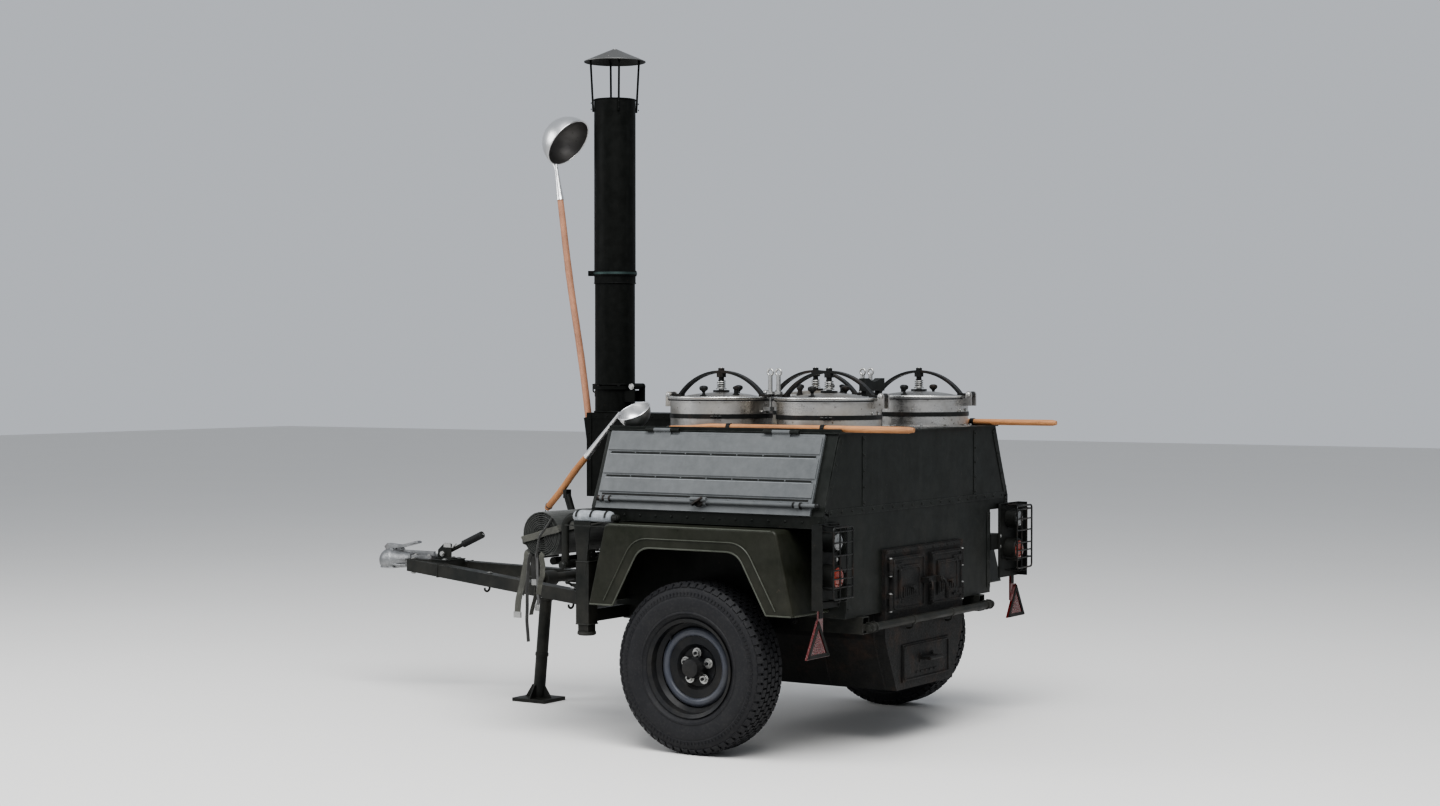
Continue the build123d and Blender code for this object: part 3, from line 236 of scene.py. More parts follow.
def rubber(name, tone):
    mat, tree, shader = newMaterial(name)
    place = objectPlace(tree)
    scuff = patches(place, 16, 6, 0.7, 0.36, 0.72, 0, 0.3)
    colour = mixTone(scuff, tone, (0.034, 0.033, 0.032))
    fine = patches(place, 120, 4, 0.6, 0.5, 0.75, 0, 0.3)
    feedAll(shader, {"Base Color": mixTone(fine, colour, (0.045, 0.043, 0.04)),
                     "Roughness": between(scuff, 0, 1, 0.62, 0.9),
                     "Normal": bump(cloud(place, 300, 3, 0.6), 0.0005, 0.4), "Specular IOR Level": 0.3})
    return mat


# Long grain: a noise squeezed across the stick and stretched along it
def woodAlong(name, tone, dark, along, byUv=False):
    mat, tree, shader = newMaterial(name)
    place = uvPlace(tree, along) if byUv else objectPlace(tree, along)
    grain = cloud(place, 9, 6, 0.7, 0.8)
    colour = mixTone(between(grain, 0.35, 0.68), dark, tone)
    grime = patches(objectPlace(tree), 6, 5, 0.6, 0.48, 0.72, 0, 0.55)
    feedAll(shader, {"Base Color": mixTone(grime, colour, [c * 0.35 for c in dark]),
                     "Roughness": between(grain, 0.3, 0.7, 0.48, 0.72), "Normal": bump(grain, 0.0012, 0.5)})
    return mat


# Proofed canvas: crossed threads by UV, cloudy fading and dirt
def woven(name, tone, dark, threads=900.0, fade=0.5):
    mat, tree, shader = newMaterial(name)
    waves = []
    for axis in ("X", "Y"):
        wave = tree.nodes.new("ShaderNodeTexWave")
        wave.bands_direction = axis
        feedAll(wave, {"Scale": threads / 20, "Distortion": 0.6, "Vector": uvPlace(tree)})
        waves.append(wave.outputs["Fac"])
    cloth = sums("MAXIMUM", *waves)
    place = objectPlace(tree)
    colour = mixTone(patches(place, 9, 6, 0.65, 0.35, 0.7), dark, tone)
    colour = mixTone(between(cloth, 0.2, 0.9, 0.25, 0), colour, [c * 0.4 for c in dark])
    faded = patches(place, 30, 4, 0.7, 0.5, 0.75, 0, fade)
    feedAll(shader, {"Base Color": mixTone(faded, colour, [c * 1.5 + 0.03 for c in tone]), "Roughness": 0.88,
                     "Sheen Weight": 0.25, "Normal": bump(cloth, 0.0008, 0.5)})
    return mat


# Lamp glass over a pattern of small cells
def lens(name, tone):
    mat, tree, shader = newMaterial(name)
    place = objectPlace(tree)
    darkened = patches(place, 40, 4, 0.6, 0.4, 0.8, 0, 0.4)
    cells = tree.nodes.new("ShaderNodeTexVoronoi")
    feedAll(cells, {"Scale": 150, "Vector": place})
    feedAll(shader, {"Base Color": mixTone(darkened, tone, [c * 0.5 + 0.02 for c in tone]), "Roughness": 0.18,
                     "Coat Weight": 0.6, "Coat Roughness": 0.08,
                     "Normal": bump(cells.outputs["Distance"], 0.001, 0.35)})
    return mat


finishes = {
    "body": painted("bodyPaint", (0.0075, 0.0092, 0.0078), (0.0042, 0.0052, 0.0044), rough=0.4, dust=0.22,
                    streaks=0.4, edge=0.3, shine=0.16),
    # hatch: its light grey-blue tone, far above the body's paint, is painted reflection of the sky on the
    # sloping lid
    "hatch": painted("hatchSkyReflectionPaint", (0.083, 0.088, 0.09), (0.066, 0.071, 0.074), rough=0.44, dust=0.15,
                     streaks=0.3, chips=0.15, edge=0.3, shine=0.35),
    # guard: its strong edge lightening is partly wear, partly painted highlight along its top edge
    "guard": painted("guardPaint", (0.0118, 0.0132, 0.0082), (0.0078, 0.009, 0.0056), rough=0.34, dust=0.3,
                     streaks=0.3, edge=0.7, shine=0.2),
    # pale paint for the edges of the hatch ribs: painted highlight
    "hatchHighlight": painted("hatchHighlightPaint", (0.2, 0.21, 0.215), (0.13, 0.14, 0.145), rough=0.4, dust=0.1,
                          streaks=0.2, chips=0.2),
    # pale olive for the mudguards' beads and top edge: painted highlight, with chips
    "guardHighlight": painted("guardHighlightPaint", (0.06, 0.064, 0.052), (0.024, 0.028, 0.02), rough=0.4, dust=0.3,
                         streaks=0.2, chips=0.8),
    "frame": painted("framePaint", (0.0075, 0.0088, 0.0078), (0.0045, 0.0054, 0.0046), rough=0.46, dust=0.4,
                     streaks=0.3, chips=0.4, edge=0.35, shine=0.2),
    "rim": painted("rimPaint", (0.0075, 0.0085, 0.0105), (0.005, 0.0056, 0.007), rough=0.4, dust=0.3,
                   streaks=0.0, chips=0.3, shine=0.2),
    # a lighter copy of the rim's paint: painted highlight on the disc's shoulder
    "rimRingHighlight": painted("rimRingHighlightPaint", (0.045, 0.05, 0.065), (0.03, 0.034, 0.045), rough=0.34, dust=0.3,
                       streaks=0.0, chips=0.3, shine=0.4),
    "stack": painted("stackPaint", (0.0036, 0.0042, 0.0036), (0.0022, 0.0026, 0.0022), rough=0.5, dust=0.1,
                     streaks=0.3, chips=0.3, bare=(0.05, 0.03, 0.02), shine=0.08),
    "lampBlack": painted("lampPaint", (0.0075, 0.0085, 0.008), (0.0045, 0.0052, 0.005), rough=0.5, dust=0.2,
                         shine=0.14),
    "stainless": bareSteel("boilerSteel", (0.5, 0.49, 0.475), rough=0.26, stain=1.0, heat=0.35),
    "paleSteel": bareSteel("rimSteel", (0.68, 0.68, 0.66), rough=0.24, stain=0.5, brush=(20, 20, 20)),
    "capSteel": bareSteel("capSteel", (0.19, 0.19, 0.185), rough=0.44, stain=0.6, brush=(20, 20, 20)),
    "clampSteel": bareSteel("clampSteel", (0.055, 0.08, 0.076), rough=0.42, stain=0.4),
    "ladleSteel": bareSteel("ladleSteel", (0.68, 0.68, 0.68), rough=0.32, stain=0.25, brush=(24, 24, 24)),
    # a darker copy of the ladle steel: painted shade inside the bowl
    "ladleInsideShade": bareSteel("ladleInsideShade", (0.17, 0.165, 0.16), rough=0.5, stain=0.5, brush=(24, 24, 24)),
    "lidSteel": bareSteel("lidSteel", (0.36, 0.36, 0.355), rough=0.34, stain=0.95, brush=(30, 30, 30),
                          heat=0.35),
    "blackSteel": castMetal("oiledIron", (0.022, 0.023, 0.0225), rough=0.4, metal=0.6, rust=0.25),
    "wornSteel": bareSteel("wornSteel", (0.42, 0.42, 0.41), rough=0.38, stain=0.7, brush=(20, 20, 20)),
    "firebox": castMetal("fireboxIron", (0.016, 0.016, 0.0155), rough=0.6, metal=0.3, rust=0.28),
    "coupling": castMetal("couplingCast", (0.3, 0.305, 0.31), rough=0.44, metal=0.9, rust=0.2),
    "rubber": rubber("tyreRubber", (0.0075, 0.0078, 0.0098)),
    "wood": woodAlong("paddleWood", (0.44, 0.215, 0.095), (0.27, 0.12, 0.048), (1.2, 34, 34)),
    "gripWood": woodAlong("gripWood", (0.44, 0.225, 0.14), (0.27, 0.125, 0.07), (5, 3, 1), byUv=True),
    "shortWood": woodAlong("shortGripWood", (0.44, 0.205, 0.08), (0.29, 0.12, 0.042), (5, 3, 1), byUv=True),
    "canvas": woven("rollCanvas", (0.016, 0.0185, 0.0145), (0.009, 0.0105, 0.0085), fade=0.3),
    "strap": woven("strapWebbing", (0.062, 0.062, 0.05), (0.03, 0.03, 0.025), threads=1500),
    "darkStrap": woven("darkWebbing", (0.022, 0.022, 0.02), (0.012, 0.012, 0.011), threads=1500),
    "foam": woven("sleeveFoam", (0.23, 0.245, 0.26), (0.14, 0.155, 0.165), threads=700, fade=0.6),
    "redLens": lens("redLens", (0.07, 0.0035, 0.003)),
    "orangeLens": lens("orangeLens", (0.2, 0.022, 0.008)),
    "clearLens": lens("clearLens", (0.16, 0.165, 0.165)),
}
print("finishes ready:", len(finishes))


# Mesh helpers: each adds a closed shape to a bmesh
# A frame (side, up) at each point that turns as little as possible along the path
def ringFrames(points):
    frames = []
    side = None
    for i in range(len(points)):
        a = points[max(i - 1, 0)]
        b = points[min(i + 1, len(points) - 1)]
        ahead = (b - a).normalized()
        if side is None:
            guess = axisZ if abs(ahead.z) < 0.9 else axisX
            side = ahead.cross(guess).normalized()
        side = (side - ahead * side.dot(ahead)).normalized()
        frames.append((side, ahead.cross(side)))
    return frames


# Faces from ring to ring and over both ends; place gives a corner's UV from its number round and its ring
def skin(bm, rings, place):
    uv = bm.loops.layers.uv.verify()
    around = len(rings[0])
    for i in range(len(rings) - 1):
        for k in range(around):
            n = (k + 1) % around
            face = bm.faces.new((rings[i][k], rings[i][n], rings[i + 1][n], rings[i + 1][k]))
            for loop, (u, v) in zip(face.loops, ((k, i), (k + 1, i), (k + 1, i + 1), (k, i + 1))):
                loop[uv].uv = place(u, v)
    bm.faces.new(rings[0][::-1])
    bm.faces.new(rings[-1])


# The way run along a path at each of its points
def lengthsOf(points):
    lengths = [0.0]
    for a, b in zip(points, points[1:]):
        lengths.append(lengths[-1] + (b - a).length)
    return lengths


# A tube along points; radius is a number or one number a point. flat squeezes the second direction
def addTube(bm, points, radius, around=12, flat=1.0):
    points = [Vector(p) for p in points]
    sizes = radius if hasattr(radius, "__len__") else [radius] * len(points)
    rings = []
    for p, size, (side, up) in zip(points, sizes, ringFrames(points)):
        rings.append([bm.verts.new(p + side * size * cos(t) + up * size * flat * sin(t))
                      for t in circleAngles(around)])
    lengths = lengthsOf(points)
    skin(bm, rings, lambda u, v: (u / around, lengths[v]))


# A flat strap along points, wide in the direction across
def addBand(bm, points, width, thick, across=axisY):
    points = [Vector(p) for p in points]
    rings = []
    for i, p in enumerate(points):
        a, b = points[max(i - 1, 0)], points[min(i + 1, len(points) - 1)]
        ahead = (b - a).normalized()
        wide = (across - ahead * across.dot(ahead)).normalized()
        out = wide.cross(ahead).normalized()
        corners = ((1, 1), (-1, 1), (-1, -1), (1, -1))
        rings.append([bm.verts.new(p + wide * width * s / 2 + out * thick * t / 2) for s, t in corners])
    lengths = lengthsOf(points)
    skin(bm, rings, lambda u, v: (u * width / 2, lengths[v]))


# A box from corner to corner, which can then be turned about the origin and moved to a place
def addBox(bm, low, high, turn=None, place=None):
    low, high = Vector(low), Vector(high)
    size = high - low
    for v in bmesh.ops.create_cube(bm, size=1.0)["verts"]:
        v.co = Vector([(c + 0.5) * s for c, s in zip(v.co, size)]) + low
        if turn:
            v.co = turn @ v.co + place


# A closed prism between two outlines with as many corners
def addPrism(bm, low, high):
    low, high = [bm.verts.new(p) for p in low], [bm.verts.new(p) for p in high]
    bm.faces.new(low)
    bm.faces.new(high[::-1])
    for k in range(len(low)):
        n = (k + 1) % len(low)
        bm.faces.new((low[n], low[k], high[k], high[n]))


# A closed shape turned about an axis from (radius, distance along the axis) points, ends on the axis closed
def addTurned(bm, profile, centre, axis=(0, 0, 1), around=48):
    axis = Vector(axis).normalized()
    side = axis.orthogonal().normalized()
    up = axis.cross(side)
    centre = Vector(centre)
    rings = []
    for r, h in profile:
        if r < 1e-6:
            rings.append([bm.verts.new(centre + axis * h)])
        else:
            rings.append([bm.verts.new(centre + axis * h + side * r * cos(t) + up * r * sin(t))
                          for t in circleAngles(around)])
    for a, b in zip(rings, rings[1:]):
        for k in range(around):
            n = (k + 1) % around
            corners = [a[k % len(a)], a[n % len(a)], b[n % len(b)], b[k % len(b)]]
            unique = list(dict.fromkeys(corners))
            if len(unique) > 2:
                bm.faces.new(unique)
    for ring, turn in ((rings[0], -1), (rings[-1], 1)):
        if len(ring) > 2 and profile[0] != profile[-1]:
            bm.faces.new(ring[::turn])
    if profile[0] == profile[-1]:
        bmesh.ops.remove_doubles(bm, verts=rings[0] + rings[-1], dist=1e-7)


# A turned button, pin or knob: (radius, height) steps in mm, from the axis out at the first height
def addStud(bm, place, axis, around, *steps):
    profile = [(0, steps[0][1]), *steps]
    addTurned(bm, [(r / 1000, h / 1000) for r, h in profile], place, axis, around)


# A ring of rectangular section, sizes in mm
def addCollar(bm, place, axis, around, inner, outer, low, high):
    corners = ((inner, low), (outer, low), (outer, high), (inner, high), (inner, low))
    addTurned(bm, [(r / 1000, h / 1000) for r, h in corners], place, axis, around)


def addBall(bm, place, radius, steps, around):
    turns = [pi * k / steps for k in range(steps + 1)]
    addTurned(bm, [(radius * sin(t), -radius * cos(t)) for t in turns], place, (1, 0, 0), around)


# A Catmull-Rom curve through the points
def smoothPath(points, steps=8):
    pts = [Vector(p) for p in points]
    full = [pts[0] * 2 - pts[1], *pts, pts[-1] * 2 - pts[-2]]
    out = []
    for a, b, c, d in zip(full, full[1:], full[2:], full[3:]):
        for k in range(steps):
            t = k / steps
            bend = (2 * a - 5 * b + 4 * c - d) * t * t + (3 * b - a - 3 * c + d) * t ** 3
            out.append(0.5 * (2 * b + (c - a) * t + bend))
    return out + [pts[-1]]


# Turns a bmesh into a piece that rides on a body, replaces the nodes in stands and has a slot's finish
def makePiece(name, bm, body, finish, stands=(), angle=40.0, bevel=0.0, mend=True):
    if mend:
        bmesh.ops.remove_doubles(bm, verts=bm.verts, dist=1e-6)
        bmesh.ops.recalc_face_normals(bm, faces=bm.faces)
    mesh = bpy.data.meshes.new(name)
    bm.to_mesh(mesh)
    bm.free()
    piece = bpy.data.objects.new(name, mesh)
    bpy.context.scene.collection.objects.link(piece)
    mesh.materials.append(finishes[finish])
    mesh.shade_smooth()
    mesh.set_sharp_from_angle(angle=radians(angle))
    if bevel > 0:
        mod = piece.modifiers.new("edges", "BEVEL")
        mod.width = bevel
        mod.segments = 2
        mod.limit_method = "ANGLE"
        mod.angle_limit = radians(50)
    if body:
        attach(piece, body)
    if stands:
        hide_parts(*stands)
    return piece


# Geometry Nodes: one small shape set on each point of a carrier mesh, turned to face outwards
# shape is bolt, rivet or block; the inputs are its sizes and its finish
def settingTree(name, shape):
    tree = bpy.data.node_groups.new(name, "GeometryNodeTree")
    tree.interface.new_socket("Geometry", in_out="INPUT", socket_type="NodeSocketGeometry")
    for label, start in (("Width", 0.012), ("Height", 0.006), ("Length", 0.02)):
        tree.interface.new_socket(label, in_out="INPUT", socket_type="NodeSocketFloat").default_value = start
    tree.interface.new_socket("Finish", in_out="INPUT", socket_type="NodeSocketMaterial")
    tree.interface.new_socket("Geometry", in_out="OUTPUT", socket_type="NodeSocketGeometry")
    make, link = tree.nodes.new, tree.links.new
    given, result = make("NodeGroupInput"), make("NodeGroupOutput")
    half = make("ShaderNodeMath")
    half.operation = "MULTIPLY"
    half.inputs[1].default_value = 0.5
    link(given.outputs["Width"], half.inputs[0])
    if shape == "block":
        form = make("GeometryNodeMeshCube")
        size = make("ShaderNodeCombineXYZ")
        link(given.outputs["Width"], size.inputs["X"])
        link(given.outputs["Length"], size.inputs["Y"])
        link(given.outputs["Height"], size.inputs["Z"])
        link(size.outputs["Vector"], form.inputs["Size"])
        solid = form.outputs["Mesh"]
    elif shape == "bolt":
        head, washer = make("GeometryNodeMeshCylinder"), make("GeometryNodeMeshCylinder")
        join = make("GeometryNodeJoinGeometry")
        head.inputs["Vertices"].default_value = 6
        washer.inputs["Vertices"].default_value = 12
        washer.inputs["Depth"].default_value = 0.002
        wide = make("ShaderNodeMath")
        wide.operation = "MULTIPLY"
        wide.inputs[1].default_value = 0.72
        link(given.outputs["Width"], wide.inputs[0])
        link(half.outputs["Value"], head.inputs["Radius"])
        link(wide.outputs["Value"], washer.inputs["Radius"])
        link(given.outputs["Height"], head.inputs["Depth"])
        link(head.outputs["Mesh"], join.inputs["Geometry"])
        link(washer.outputs["Mesh"], join.inputs["Geometry"])
        solid = join.outputs["Geometry"]
    else:
        ball, squeeze = make("GeometryNodeMeshUVSphere"), make("GeometryNodeTransform")
        ball.inputs["Segments"].default_value = 10
        ball.inputs["Rings"].default_value = 6
        link(half.outputs["Value"], ball.inputs["Radius"])
        squeeze.inputs["Scale"].default_value = (1, 1, 0.55)
        link(ball.outputs["Mesh"], squeeze.inputs["Geometry"])
        solid = squeeze.outputs["Geometry"]
    facing, along = make("GeometryNodeInputNamedAttribute"), make("GeometryNodeInputNamedAttribute")
    facing.data_type = along.data_type = "FLOAT_VECTOR"
    facing.inputs["Name"].default_value = "facing"
    along.inputs["Name"].default_value = "along"
    turnUp, turnAlong = make("FunctionNodeAlignRotationToVector"), make("FunctionNodeAlignRotationToVector")
    turnUp.axis, turnAlong.axis = "Z", "Y"
    turnAlong.pivot_axis = "Z"
    link(facing.outputs["Attribute"], turnUp.inputs["Vector"])
    link(turnUp.outputs["Rotation"], turnAlong.inputs["Rotation"])
    link(along.outputs["Attribute"], turnAlong.inputs["Vector"])
    setOn, real = make("GeometryNodeInstanceOnPoints"), make("GeometryNodeRealizeInstances")
    coat = make("GeometryNodeSetMaterial")
    link(given.outputs["Geometry"], setOn.inputs["Points"])
    link(solid, setOn.inputs["Instance"])
    link(turnAlong.outputs["Rotation"], setOn.inputs["Rotation"])
    link(setOn.outputs["Instances"], real.inputs["Geometry"])
    link(real.outputs["Geometry"], coat.inputs["Geometry"])
    link(given.outputs["Finish"], coat.inputs["Material"])
    link(coat.outputs["Geometry"], result.inputs["Geometry"])
    return tree


settings = {shape: settingTree(shape + "Setting", shape) for shape in ("bolt", "rivet", "block")}


# One piece made of a shape set on each (place, facing, along) spot
def setOut(name, shape, spots, body, finish, width, height, length=0.02):
    carrier = bpy.data.meshes.new(name + "Spots")
    carrier.from_pydata([tuple(s[0]) for s in spots], [], [])
    for label, column in (("facing", 1), ("along", 2)):
        data = carrier.attributes.new(label, "FLOAT_VECTOR", "POINT").data
        for item, spot in zip(data, spots):
            item.vector = spot[column]
    piece = bpy.data.objects.new(name, carrier)
    bpy.context.scene.collection.objects.link(piece)
    mod = piece.modifiers.new("set", "NODES")
    tree = settings[shape]
    mod.node_group = tree
    wanted = {"Width": width, "Height": height, "Length": length, "Finish": finishes[finish]}
    for item in tree.interface.items_tree:
        if item.in_out == "INPUT" and item.name in wanted:
            mod[item.identifier] = wanted[item.name]
    graph = bpy.context.evaluated_depsgraph_get()
    grown = bpy.data.meshes.new_from_object(piece.evaluated_get(graph))
    piece.modifiers.remove(mod)
    piece.data = grown
    grown.name = name
    grown.shade_smooth()
    grown.set_sharp_from_angle(angle=radians(35))
    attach(piece, body)
    return piece


# Evenly spaced spots between two places, both ends included
def row(start, end, count, facing):
    start, end = Vector(start), Vector(end)
    line = (end - start).normalized()
    return [(start.lerp(end, k / (count - 1)), Vector(facing), line) for k in range(count)]


# Spots round an axis, which face along it or outwards
def circle(centre, axis, radius, count, height=0.0, outwards=False, phase=0.0):
    axis = Vector(axis).normalized()
    side = axis.orthogonal().normalized()
    up = axis.cross(side)
    spots = []
    for k in range(count):
        t = tau * (k + phase) / count
        out = side * cos(t) + up * sin(t)
        facing, along = (out, axis) if outwards else (axis, out)
        spots.append((Vector(centre) + out * radius + axis * height, facing, along))
    return spots


# The camera stands where the photograph was taken from, with a longer lens
cameraSet = {"eye": (-5.0185, 7.437, 1.35), "aim": (0.5379, -0.8433, -0.0169), "lens": 58.0, "sensor": 36.0}


def placeCamera():
    data = bpy.data.cameras.new("view")
    data.lens = cameraSet["lens"]
    data.sensor_width = cameraSet["sensor"]
    camera = bpy.data.objects.new("view", data)
    camera.location = cameraSet["eye"]
    camera.rotation_euler = Vector(cameraSet["aim"]).to_track_quat("-Z", "Y").to_euler()
    bpy.context.scene.collection.objects.link(camera)
    bpy.context.scene.camera = camera


placeCamera()
studio = {"floor": (0.72, 0.71, 0.69), "sky": (0.86, 0.9, 0.96), "skyPower": 0.55,
          "contrast": "AgX - Medium High Contrast", "exposure": 0.0,
          "lights": {"key": {"place": (-3.0, 3.6, 7.0), "aim": (0, 0, 0.8), "size": 6.0, "power": 950.0},
                     "fill": {"place": (5.0, 4.5, 4.0), "aim": (0, 0, 0.9), "size": 4.0, "power": 200.0}}}


def setStudio():
    bm = bmesh.new()
    bmesh.ops.create_grid(bm, x_segments=1, y_segments=1, size=30)
    mesh = bpy.data.meshes.new("floor")
    bm.to_mesh(mesh)
    bm.free()
    floor = bpy.data.objects.new("floor", mesh)
    bpy.context.scene.collection.objects.link(floor)
    mat, tree, shader = newMaterial("floorPale")
    tone = studio["floor"]
    marks = cloud(objectPlace(tree), 0.8, 3)
    feedAll(shader, {"Base Color": mixTone(marks, tone, [c * 0.97 for c in tone]), "Roughness": 0.75})
    mesh.materials.append(mat)
    world = bpy.data.worlds.new("studio")
    world.use_nodes = True
    background = world.node_tree.nodes["Background"]
    background.inputs["Color"].default_value = (*studio["sky"], 1)
    background.inputs["Strength"].default_value = studio["skyPower"]
    bpy.context.scene.world = world
    bpy.context.scene.view_settings.look = studio["contrast"]
    bpy.context.scene.view_settings.exposure = studio["exposure"]
    for name, light in studio["lights"].items():
        data = bpy.data.lights.new(name, "AREA")
        data.size = light["size"]
        data.energy = light["power"]
        lamp = bpy.data.objects.new(name, data)
        lamp.location = light["place"]
        lamp.rotation_euler = (Vector(light["aim"]) - lamp.location).to_track_quat("-Z", "Y").to_euler()
        bpy.context.scene.collection.objects.link(lamp)


setStudio()
print("camera and studio set")


# Finishes of the nodes that stay as the construction gives them
nodeFinish = {
    "body_shell": "body", "deck_plate": "body", "lamp_boards": "lampBlack", "smoke_box": "stack",
    "chimney_lower": "stack", "chimney_upper": "stack", "rain_cap": "stack", "firebox": "firebox",
    "ash_drawer": "firebox", "coupling_head": "coupling", "fire_grate": "firebox",
    "brake_drum_left": "firebox", "brake_drum_right": "firebox", "swing_bolts": "wornSteel",
    "tail_lamps": "redLens", "rear_reflectors": "redLens", "left_paddle": "wood", "right_paddle": "wood",
    "tall_ladle_head": "stainless", "short_ladle_head": "stainless", "tall_ladle_grip": "gripWood",
    "short_ladle_grip": "shortWood", "canvas_roll": "canvas",
}
startsWith = {"tyre": "rubber", "rim": "rim", "hatch": "hatch", "mudguard": "guard", "pot": "stainless",
              "lid": "lidSteel", "bow": "blackSteel", "fire_door": "firebox"}


def finishOf(name):
    fitting = (finish for start, finish in startsWith.items() if name.startswith(start))
    return nodeFinish.get(name) or next(fitting, "frame")


def coatNodes():
    for name, obj in nodes.items():
        finish = finishOf(name)
        for place in obj.material_slots:
            place.material = finishes[finish]
        if not obj.material_slots:
            obj.data.materials.append(finishes[finish])


coatNodes()
print("nodes coated")


# Stations in mm from the wheel axis, as on a drawing, turned into places in metres
axleX = -0.6375


def at(x, y, z):
    return Vector((x / 1000 + axleX, y / 1000, z / 1000))


slopeSet = {"deck": (607.0, 1112.0), "run": (0.35785, 0.93378)}


# A place on the sloping side: down from the deck's edge and out from the plate
def onSlope(x, down, out, side):
    across, fall = slopeSet["run"]
    return at(x, side * (slopeSet["deck"][0] + across * down + fall * out),
              slopeSet["deck"][1] - fall * down + across * out)


def slopeFacing(side):
    return Vector((0, side * slopeSet["run"][1], slopeSet["run"][0]))


# A path with its corners rounded to a radius
def roundedPath(points, radius, steps=6):
    pts = [Vector(p) for p in points]
    out = [pts[0]]
    for a, b, c in zip(pts, pts[1:], pts[2:]):
        start = b + (a - b).normalized() * radius
        end = b + (c - b).normalized() * radius
        for k in range(steps + 1):
            t = k / steps
            out.append(start * (1 - t) ** 2 + b * 2 * t * (1 - t) + end * t ** 2)
    return out + [pts[-1]]


# Places round an axis along Y, for clips and bands
def roundY(x, y, z, radius, steps, start=0.0, sweep=tau):
    turns = [start + sweep * k / steps for k in range(steps + 1)]
    return [at(x + radius * cos(t), y, z + radius * sin(t)) for t in turns]


# A ring of round section, or of oval section where flat isn't one
def addRing(bm, centre, radius, thick, axis=(0, 0, 1), around=64, section=8, flat=1.0):
    profile = [(radius + thick * cos(t), thick * flat * sin(t)) for t in circleAngles(section)]
    addTurned(bm, profile + [profile[0]], centre, axis, around)


# A flat strip bent along points, with its face turned to a given direction
def addStrip(bm, points, width, thick, facing):
    facing = Vector(facing).normalized()
    pts = [Vector(p) for p in points]
    for i, (a, b) in enumerate(zip(pts, pts[1:])):
        ahead = (b - a).normalized()
        wide = facing.cross(ahead).normalized() * width / 2
        rise = facing * thick
        grow = ahead * width * 0.2 if 0 < i else ahead * 0
        low = [a - grow + wide, a - grow - wide, b - wide, b + wide]
        verts = [bm.verts.new(p) for p in low + [p + rise for p in low]]
        for ids in ((3, 2, 1, 0), (4, 5, 6, 7), (0, 1, 5, 4), (1, 2, 6, 5), (2, 3, 7, 6), (3, 0, 4, 7)):
            bm.faces.new([verts[k] for k in ids])


# Wheels: carcass with ribbed sidewalls, tread set out in rows, nuts, cap and valve
wheelSet = {
    "axle": (-0.6375, 0.3), "halfTrack": 0.7,
    # half width and radius of the carcass from the bead to the crown, mm
    "section": ((58, 163.5), (62, 168), (66, 174), (72, 184), (75.5, 188), (79, 190), (79.5, 194),
                (77.5, 197), (80.5, 210), (82, 228), (81.6, 240), (80.8, 246), (79.6, 247.5), (79.6, 250.5),
                (80.2, 252), (77, 266), (72, 277), (67, 284), (63, 288), (45, 291.5), (20, 292.6), (0, 293)),
    "around": 112, "blocks": 56, "rows": (-0.048, -0.024, 0.0, 0.024, 0.048), "blockRadius": 0.2955,
    "nutCircle": 0.049, "nuts": 5,
    "discRing": ((0.1085, 0.0215), (0.1095, 0.0265), (0.1145, 0.0315), (0.1225, 0.0335), (0.1305, 0.0315),
                 (0.1365, 0.0265), (0.1395, 0.0195), (0.1395, 0.0135), (0.134, 0.0145), (0.119, 0.0215),
                 (0.1085, 0.0215)),
}


